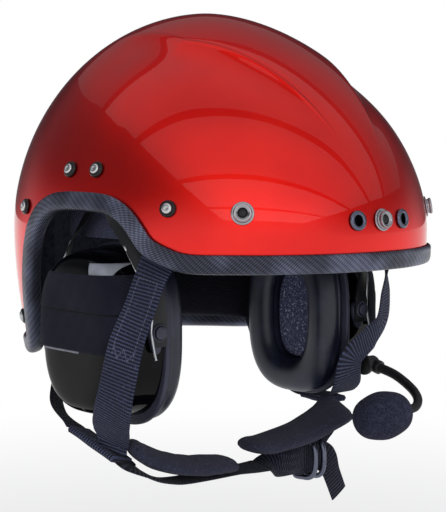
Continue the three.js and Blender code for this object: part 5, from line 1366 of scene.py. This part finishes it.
def make_gather(looks):
    rows = np.array(GATHER_SHARES + TAIL_SHARES)
    centre = np.array([RING_X + RING_PITCH / 2, RING_BAR_Y - RING_DEPTH * GATHER_DEPTH_SHARE, RING_Z])
    places = centre + rows[:, :3] * (CHIN_WEB_WIDTH, -CHIN_WEB_WIDTH, CHIN_WEB_WIDTH)
    widths = [(0, r[5], 1.1 - r[5]) for r in GATHER_SHARES] + [r[3:] for r in TAIL_SHARES]
    sizes = [(r[3] * CHIN_WEB_WIDTH, r[4] * WEB_THICKNESS) for r in GATHER_SHARES]
    sizes += [(CHIN_WEB_WIDTH, WEB_THICKNESS)] * len(TAIL_SHARES)
    span = len(rows) - 1

    def bunched(share, x, y):
        bulk = np.clip(1 - np.abs(share * span - 2.9) / 2.1, 0, 1) ** 0.7
        fold = 0.5 + 0.5 * np.cos(x * 11 + share * 7)
        return x, y * (1 - 0.34 * bulk * fold)

    section = pad_section(0.0, 40)
    gather = along_route("chin_web_end", places, widths, np.array(sizes) * SNUG, section, looks["webbing"],
                         220, bunched, STRAP_ANGLE)
    dress(gather, ROOT, "webbing", "strap_gather")


# Rings, boom and microphone.
BOOM_OUT = 98.3 * MM
BOOM_PLACE = (-45.5 * MM, -76 * MM)
KNUCKLE_R = 5.6 * MM
KNUCKLE_THICKNESS = 10 * MM
KNUCKLE_ROUNDING = 0.6 * MM
COLLAR_ROUNDING = 0.4 * MM
KNUCKLE_SHARES = [
    (0, -1), (0.86, -1), (0.98, -0.8), (0.98, 0.55), (0.8, 0.9), (0.55, 0.96), (0.5, 0.8), (0, 0.8),
]
COLLAR_R = 4.9 * MM
COLLAR_LENGTH = 3 * MM
# The groove near the collar's end: (share of its radius, millimetres from the end).
COLLAR_GROOVE = [(0.97, 1.2), (0.9, 0.7), (0.97, 0.4)]
BOOM_R = 3.3 * MM
BOOM_START_SHARE = 0.35
BOOM_TAPER = 0.12
BOOM_SHARES = [
    (0.905, -1.488, -0.792), (0.888, -1.793, -0.881), (0.853, -2.051, -0.965), (0.802, -2.224, -1.035),
    (0.746, -2.285, -1.092), (0.659, -2.202, -1.121),
]
WINDSCREEN_HALF_LENGTH = 20 * MM
WINDSCREEN_R = 15.4 * MM
WINDSCREEN_LUMP = 0.012


def tube(name, places, radius, material, steps, around=20, closed=False, taper=None):
    places = np.array(places)
    shares = np.linspace(0, 1, steps + 1)
    middle = curve_through(places, shares, closed)
    if closed:
        along = unit(np.roll(middle[:-1], -1, 0) - np.roll(middle[:-1], 1, 0))
        along = np.vstack([along, along[:1]])
    else:
        along = unit(np.gradient(middle, axis=0))
    side = np.zeros_like(along)
    side[0] = unit(np.cross(along[0], (0.31, 0.17, 0.93)))
    for i in range(1, len(along)):
        side[i] = unit(side[i - 1] - along[i] * np.dot(side[i - 1], along[i]))
    if closed:
        side = unit(np.cross(along, (1, 0, 0)))
    third = np.cross(along, side)

    def surface(u, v):
        i = np.rint(v * steps).astype(int)
        r = radius * (1 if taper is None else taper(shares[i]))
        angle = 2 * math.pi * u
        return middle[i] + side[i] * (r * np.cos(angle))[:, None] + third[i] * (r * np.sin(angle))[:, None]

    return wrapped_grid(name, around, steps, surface, material)


def make_rings(material):
    corner = RING_DEPTH * RING_CORNER_SHARE
    h, d = RING_HALF_HEIGHT, RING_DEPTH
    path = [(0, z) for z in np.linspace(-h, h, 11)]
    path += [(y, h) for y in np.linspace(0, corner - d, 5)[1:]]
    for share in np.linspace(0, 1, 8)[1:]:
        a = 1 - share
        path.append((a * a * (corner - d) + 2 * a * share * -d + share**2 * -d,
                     a * a * h + 2 * a * share * h + share**2 * (h - corner)))
    path += [(y, -z) for y, z in path[:13:-1]]
    for node, x, body in (("d_ring_inner", RING_X, "ring_inner_body"),
                          ("d_ring_outer", RING_X + RING_PITCH, "ring_outer_body")):
        places = [(x, RING_BAR_Y + y, RING_Z + z) for y, z in path]
        ring = tube(node.replace("d_ring", "steel_ring"), places, RING_WIRE_R * SNUG_THROUGH, material, 160,
                    closed=True)
        dress(ring, body, "ring_steel", node)


def make_boom(looks):
    points = cup_places(1, BOOM_SHARES)
    y, z = BOOM_PLACE
    centre = np.array([BOOM_OUT + KNUCKLE_THICKNESS / 2, y, z])
    heading = unit(points[0] - centre)
    start = centre + (points[0] - centre) * BOOM_START_SHARE
    arm = tube("boom_arm", [start, *points], BOOM_R * SNUG, looks["boom"], 120, 24,
               taper=lambda share: 1 - BOOM_TAPER * share)
    dress(arm, "boom_body", "boom_black", "mic_boom")
    half = KNUCKLE_THICKNESS / 2
    knob = [(KNUCKLE_R * r, half * h) for r, h in KNUCKLE_SHARES]
    knob = rounded_profile(knob, KNUCKLE_ROUNDING)
    dress(turned("boom_knuckle", knob, centre, (1, 0, 0), looks["boom_gloss"]), "boom_body", "boom_black")
    reach = KNUCKLE_R + COLLAR_LENGTH
    collar = [(0, 0), (COLLAR_R * 0.86, 0), (COLLAR_R * 0.97, reach * 0.6)]
    collar += [(COLLAR_R * share, reach - back * MM) for share, back in COLLAR_GROOVE]
    collar += [(COLLAR_R * 0.8, reach), (0, reach)]
    collar = rounded_profile(collar, COLLAR_ROUNDING)
    dress(turned("boom_collar", collar, centre, heading, looks["boom_gloss"]), "boom_body", "boom_black")

    axis = unit(points[-1] - points[-2])
    refined("microphone_can", "microphone", looks["boom"], STEEL_BEVEL, "boom_body", "boom_black")
    begin = points[-1] - axis * 2 * BOOM_R
    rows = [(0, 0.7 * MM)]
    for angle in np.linspace(0.12, math.pi, 40):
        lump = 1 - WINDSCREEN_LUMP * math.sin(angle * 7)
        rows.append((WINDSCREEN_R * math.sin(angle) ** 0.8 * lump * 0.995,
                     WINDSCREEN_HALF_LENGTH * (1 - math.cos(angle)) * 0.99 + 0.2 * MM))
    rows[-1] = (0, rows[-1][1])
    shield = turned("foam_windscreen", rows, begin, axis, looks["foam"], steps=72, smooth_angle=1.2)
    dress(shield, "boom_body", "windscreen_foam", "windscreen", padded=FOAM_FILL)
    refined("boom_socket", "boom_base", looks["boom_gloss"], CAN_BEVEL, "cup_left_body", "boom_black")


# The fork that carries each cup, and the eye of each pivot.
YOKE_HUB_OUT = 104 * MM
YOKE_HUB_Y = -12 * MM
YOKE_HUB_Z = 47.5 * MM
PIVOT_OUT = 88.5 * MM
PIVOT_Z = -37 * MM
PIVOT_FACE = 46.2 * MM
LEG_MIDDLE = 45.5 * MM
LEG_WIDTH = 11 * MM
LEG_EDGE_WIDTH = 1.5 * MM
LEG_SHARES = [
    (0.42, 0.62, 0.4), (0.76, 0.96, 0.68), (1, 1, 0.88), (1, 1, 1), (1, 1.06, 1.1), (1, 1.13, 1.18),
]
LEG_TURN_SHARES = [(0.62, 0.78), (0.93, 0.37), (1, 0), (1, 0), (1, 0), (1, 0)]


def make_leg_edges(name, side, looks):
    """The bare steel along the outer edge of each fork leg, down to its foot; it also stands in for the
    edge's highlight as painted highlight.
    """
    for end, way in (("front", -1), ("rear", 1)):
        top = YOKE_HUB_Y + way * LEG_WIDTH / 2
        inwards, along, down = np.array(LEG_SHARES).T
        places = np.stack([
            side * (YOKE_HUB_OUT + (PIVOT_OUT - YOKE_HUB_OUT) * inwards),
            top + (CUP_Y + way * LEG_MIDDLE - top) * along,
            YOKE_HUB_Z + (PIVOT_Z - YOKE_HUB_Z) * down,
        ], axis=-1)
        turns = np.array([(side * out, -way * y, 0) for out, y in LEG_TURN_SHARES])
        places += unit(turns) * LEG_WIDTH / 2
        sizes = [(LEG_EDGE_WIDTH, LEG_EDGE_WIDTH)] * len(places)
        edge = along_route(f"leg_edge_{end}_{name}", places, turns, sizes, pad_section(0.0, 9),
                           looks["bare_edge_highlight"], 60)
        dress(edge, f"yoke_{name}_body", "yoke_black")


PIVOT_EYE = ([(4.1, 0), (4.2, 0.7), (4.5, 1.1), (5.0, 1.1), (5.4, 0.6), (5.5, 0), (4.1, 0)], 0.2, 40)


def make_pivot_eyes(name, side, looks):
    for end, way in (("front", -1), ("rear", 1)):
        place = ((side * PIVOT_OUT, CUP_Y + way * PIVOT_FACE, PIVOT_Z), (0, way, 0))
        eye = lathed(f"pivot_eye_{end}_{name}", PIVOT_EYE, place, looks["fitting"])
        dress(eye, f"yoke_{name}_body", "fitting_black")


# Fasteners. A turned form is (profile, rounding of its corners, steps round), and its profile's rows are
# (radius, height) off the shell; all lengths are in millimetres.
SIDE_STUD_PLACE = (-109.4 * MM, 33.8 * MM)
WASHER = ([
    (0, -2.9), (1.9, -2.9), (1.9, 0.3), (4.9, 0.3), (4.95, 0.9), (4.5, 1.7), (3.9, 2.2), (3.5, 2.25),
    (3.3, 1.9), (0, 1.9),
], 0.25, 36)
HEAD = ([
    (0, 1.6), (3.05, 1.6), (3.15, 2.2), (2.9, 2.9), (2.2, 3.3), (1.2, 3.42), (1.1, 2.9), (0, 2.75),
], 0.3, 28)
STUD = ([
    (0, -2.9), (1.9, -2.9), (1.9, 0.3), (6.5, 0.3), (6.55, 0.8), (6.2, 1.2), (5.6, 1.35), (5, 1.2),
    (4.5, 1.6), (4.4, 2.4), (4.8, 2.8), (5.1, 3.2), (5, 4), (4.6, 4.35), (3.9, 4.3), (3.4, 3.9),
    (2.9, 3.5), (2.6, 3.1), (2.5, 2.4), (0, 2.3),
], 0.25, 56)
SOCKET = ([(0, 2.35), (2.45, 2.35), (2.4, 2.7), (1.9, 3), (1.1, 3.35), (0, 3.4)], 0.2, 32)
GROMMET = ([
    (2.9, -3), (2.9, 0.8), (3.2, 1.5), (3.8, 2), (4.6, 2.05), (5.4, 1.6), (5.85, 0.9), (5.8, 0.3),
    (4.15, 0.3), (4.15, -3), (2.9, -3),
], 0.3, 44)


def lathed(name, form, place, look):
    """A turned piece from a form (profile, rounding, steps) at a place (point, direction)."""
    profile, rounding, steps = form
    rows = [(r * MM, h * MM) for r, h in profile]
    return turned(name, rounded_profile(rows, rounding * MM), *place, look, steps)


def make_fasteners(looks):
    for name, side in SIDES:
        for screw, (y, z) in SCREW_PLACES.items():
            place = spot(side, y * MM, z * MM)
            dress(lathed(f"{screw}_cup_{name}", WASHER, place, looks["washer"]), ROOT, "screw_steel",
                  f"{screw}_{name}")
            dress(lathed(f"{screw}_head_{name}", HEAD, place, looks["head"]), ROOT, "screw_steel")
        make_stud(name, spot(side, *SIDE_STUD_PLACE), looks)
        place = front_spot(side * GROMMET_PITCH / 2, FRONT_STUD_Z)
        dress(lathed(f"grommet_eye_{name}", GROMMET, place, looks["grommet"]), ROOT, "grommet_steel",
              f"grommet_{name}")
    make_stud("centre", level_spot(np.array(0.0), FRONT_STUD_Z), looks)


def make_stud(name, place, looks):
    dress(lathed(f"snap_stud_{name}", STUD, place, looks["stud"]), ROOT, "stud_nickel", f"visor_stud_{name}")
    dress(lathed(f"snap_socket_{name}", SOCKET, place, looks["socket"]), ROOT, "stud_nickel")


def make_carriers(looks):
    for name, side in SIDES:
        refined(f"carrier_{name}", f"cup_carrier_{name}", looks["carrier"], STEEL_BEVEL, ROOT,
                "carrier_steel")
        refined(f"fork_{name}", f"yoke_{name}", looks["yoke"], WIRE_BEVEL, f"yoke_{name}_body", "yoke_black")
        make_leg_edges(name, side, looks)


LOOKS = {
    "gloss": gloss_moulding(),
    "plate": satin_moulding("backplate_moulding", (0.05, 0.053, 0.083), 0.44),
    "fitting": satin_moulding("pivot_moulding", (0.05, 0.053, 0.08), 0.34),
    "seal": seal_leatherette(),
    "speckled": speckled_cloth(),
    "band": stretch_cloth(),
    "label_and_highlight": paper_and_highlight(),
    "can": metal("speaker_tin", (0.12, 0.12, 0.13), 0.4),
    "webbing": webbing_cloth("plain_webbing", colour=(0.018, 0.019, 0.038)),
    "pad": lining_fabric("chin_fabric", (0.05, 0.053, 0.095), 0.0011),
    "boom": satin_moulding("boom_rubber", (0.012, 0.012, 0.013), 0.5),
    "boom_gloss": satin_moulding("boom_moulding", (0.008, 0.008, 0.009), 0.22),
    "foam": open_foam(),
    "washer": satin_moulding("washer_black", (0.006, 0.006, 0.007), 0.16),
    "head": metal("screw_head_steel", (0.58, 0.59, 0.6), 0.24, 0.08, 0.00001),
    "stud": metal("stud_nickel_plate", (0.36, 0.35, 0.37), 0.13, 0.05, 0.000004),
    "socket": satin_moulding("socket_black", (0.01, 0.01, 0.012), 0.3),
    "grommet": metal("grommet_gunmetal", (0.13, 0.14, 0.19), 0.17, 0.05, 0.000004),
    "ring": metal("ring_black_steel", (0.13, 0.14, 0.19), 0.3),
    "carrier": metal("carrier_black_steel", (0.05, 0.05, 0.055), 0.4),
    "yoke": satin_moulding("yoke_coating", (0.01, 0.01, 0.013), 0.38),
    # Bright bare steel for the leg edges, which also paints the edges' highlight.
    "bare_edge_highlight": metal("yoke_bare_edge_highlight", (0.8, 0.82, 0.86), 0.45),
}
make_shell()
make_trim()
make_linings()
for cup_name, cup_side in SIDES:
    make_cup(cup_name, cup_side, LOOKS)
make_webbing(LOOKS)
make_rings(LOOKS["ring"])
make_boom(LOOKS)
make_fasteners(LOOKS)
make_carriers(LOOKS)
for cup_name, cup_side in SIDES:
    make_pivot_eyes(cup_name, cup_side, LOOKS)

# Stage and light.
FLOOR_Z = -0.3
FLOOR_SIZE = 30
FLOOR_FADE = 1.1
FLOOR_OWN_WHITE = 0.72


def make_stage():
    start_clean()
    bpy.ops.mesh.primitive_plane_add(size=FLOOR_SIZE, location=(0, 0, FLOOR_Z))
    floor = bpy.context.object
    floor.name = "floor"
    look = Look("floor_paint", roughness=0.9, Specular_IOR_Level=0.0)
    look.paint(look.noise(3.0, 2.0), (0.76, 0.76, 0.76), (0.8, 0.8, 0.8))
    x, y, _ = look.split(look.spot())
    far = (x * x + y * y).power(0.5).ramp(0.25, FLOOR_FADE)
    white = look.nodes.new("ShaderNodeEmission")
    white.inputs["Color"].default_value = (1, 1, 1, 1)
    blend = look.nodes.new("ShaderNodeMixShader")
    look.feed(blend.inputs[0], look.seen_rays() * (FLOOR_OWN_WHITE + far * (1 - FLOOR_OWN_WHITE)))
    look.links.new(look.shader.outputs[0], blend.inputs[1])
    look.links.new(white.outputs[0], blend.inputs[2])
    look.links.new(blend.outputs[0], look.output.inputs[0])
    floor.data.materials.append(look.material)


CAMERA_AXES = (CAMERA_RIGHT.normalized(), CAMERA_RIGHT.normalized().cross(Vector((0, 0, 1))))


def area_light(name, place, axes, width, height, level):
    """A rectangle of light at a level of radiance; axes are its own right, up and back."""
    data = bpy.data.lights.new(name, "AREA")
    data.shape = "RECTANGLE"
    data.size = width
    data.size_y = height
    data.energy = level * math.pi * width * height
    light = bpy.data.objects.new(name, data)
    bpy.context.scene.collection.objects.link(light)
    light.matrix_world = Matrix.Translation(place) @ Matrix(axes).transposed().to_4x4()


# A lit ceiling in strips with dark beams between them: (start, end, level) behind the helmet and towards the
# camera, in shares of the ceiling's height.
CEILING = 1.3
CEILING_LEFT_SHARE = -1.05
CEILING_RIGHT_SHARE = 3.2
STRIP_SHARES = [(-1.7, -0.47, 0.16), (-0.38, 0.2, 0.48), (0.3, 1.2, 0.62), (1.33, 2.6, 1.0), (2.8, 4.6, 1.2)]


def ceiling_light(name, back_start, back_end, level):
    right, back = CAMERA_AXES
    width = (CEILING_RIGHT_SHARE - CEILING_LEFT_SHARE) * CEILING
    middle = right * (CEILING_LEFT_SHARE * CEILING + width / 2) + back * (back_start + back_end) / 2 * CEILING
    place = middle + Vector((0, 0, CEILING))
    area_light(name, place, (right, -back, Vector((0, 0, 1))), width, (back_end - back_start) * CEILING,
               level)


# The horizontal way from the helmet to the camera.
FRONT_WAY = (-0.673, -0.74)


class Surroundings(Look):
    """The world: a room that is bright low down, brightest towards the camera, dim overhead and dark behind.

    The camera itself sees plain white behind the object.
    """

    def __init__(self, name, low, high):
        world = bpy.data.worlds.new(name)
        bpy.context.scene.world = world
        self.take_tree(world)
        x, y, z = self.split(self.add("ShaderNodeTexCoord", output=0))
        to_front = x * FRONT_WAY[0] + y * FRONT_WAY[1]
        to_back = to_front * -1.0
        horizon = self.mix(to_front.ramp(0.1, 0.8), low, (1.0, 1.0, 1.0))
        room = self.mix((z - to_front.ramp(0.2, 0.9) * 0.22).ramp(-0.2, 0.3), horizon, high)
        behind = (z + 0.35).ramp(0.0, 0.35) * to_back.ramp(0.55, 0.92) * 0.85
        room = self.mix(behind, room, (0.02, 0.02, 0.025))
        colour = self.mix(self.rays(CAMERA_RAY), room, (1.0, 1.0, 1.0))
        background = self.add("ShaderNodeBackground", None, {0: colour, 1: 1.0})
        output = self.nodes.new("ShaderNodeOutputWorld")
        self.links.new(background.link, output.inputs[0])


make_stage()
Surroundings("studio", (0.95, 0.96, 1.0), (0.15, 0.155, 0.175))
for strip, (back_start, back_end, level) in enumerate(STRIP_SHARES):
    ceiling_light(f"strip_{strip}", back_start, back_end, level)
bpy.context.scene.view_settings.view_transform = "Standard"
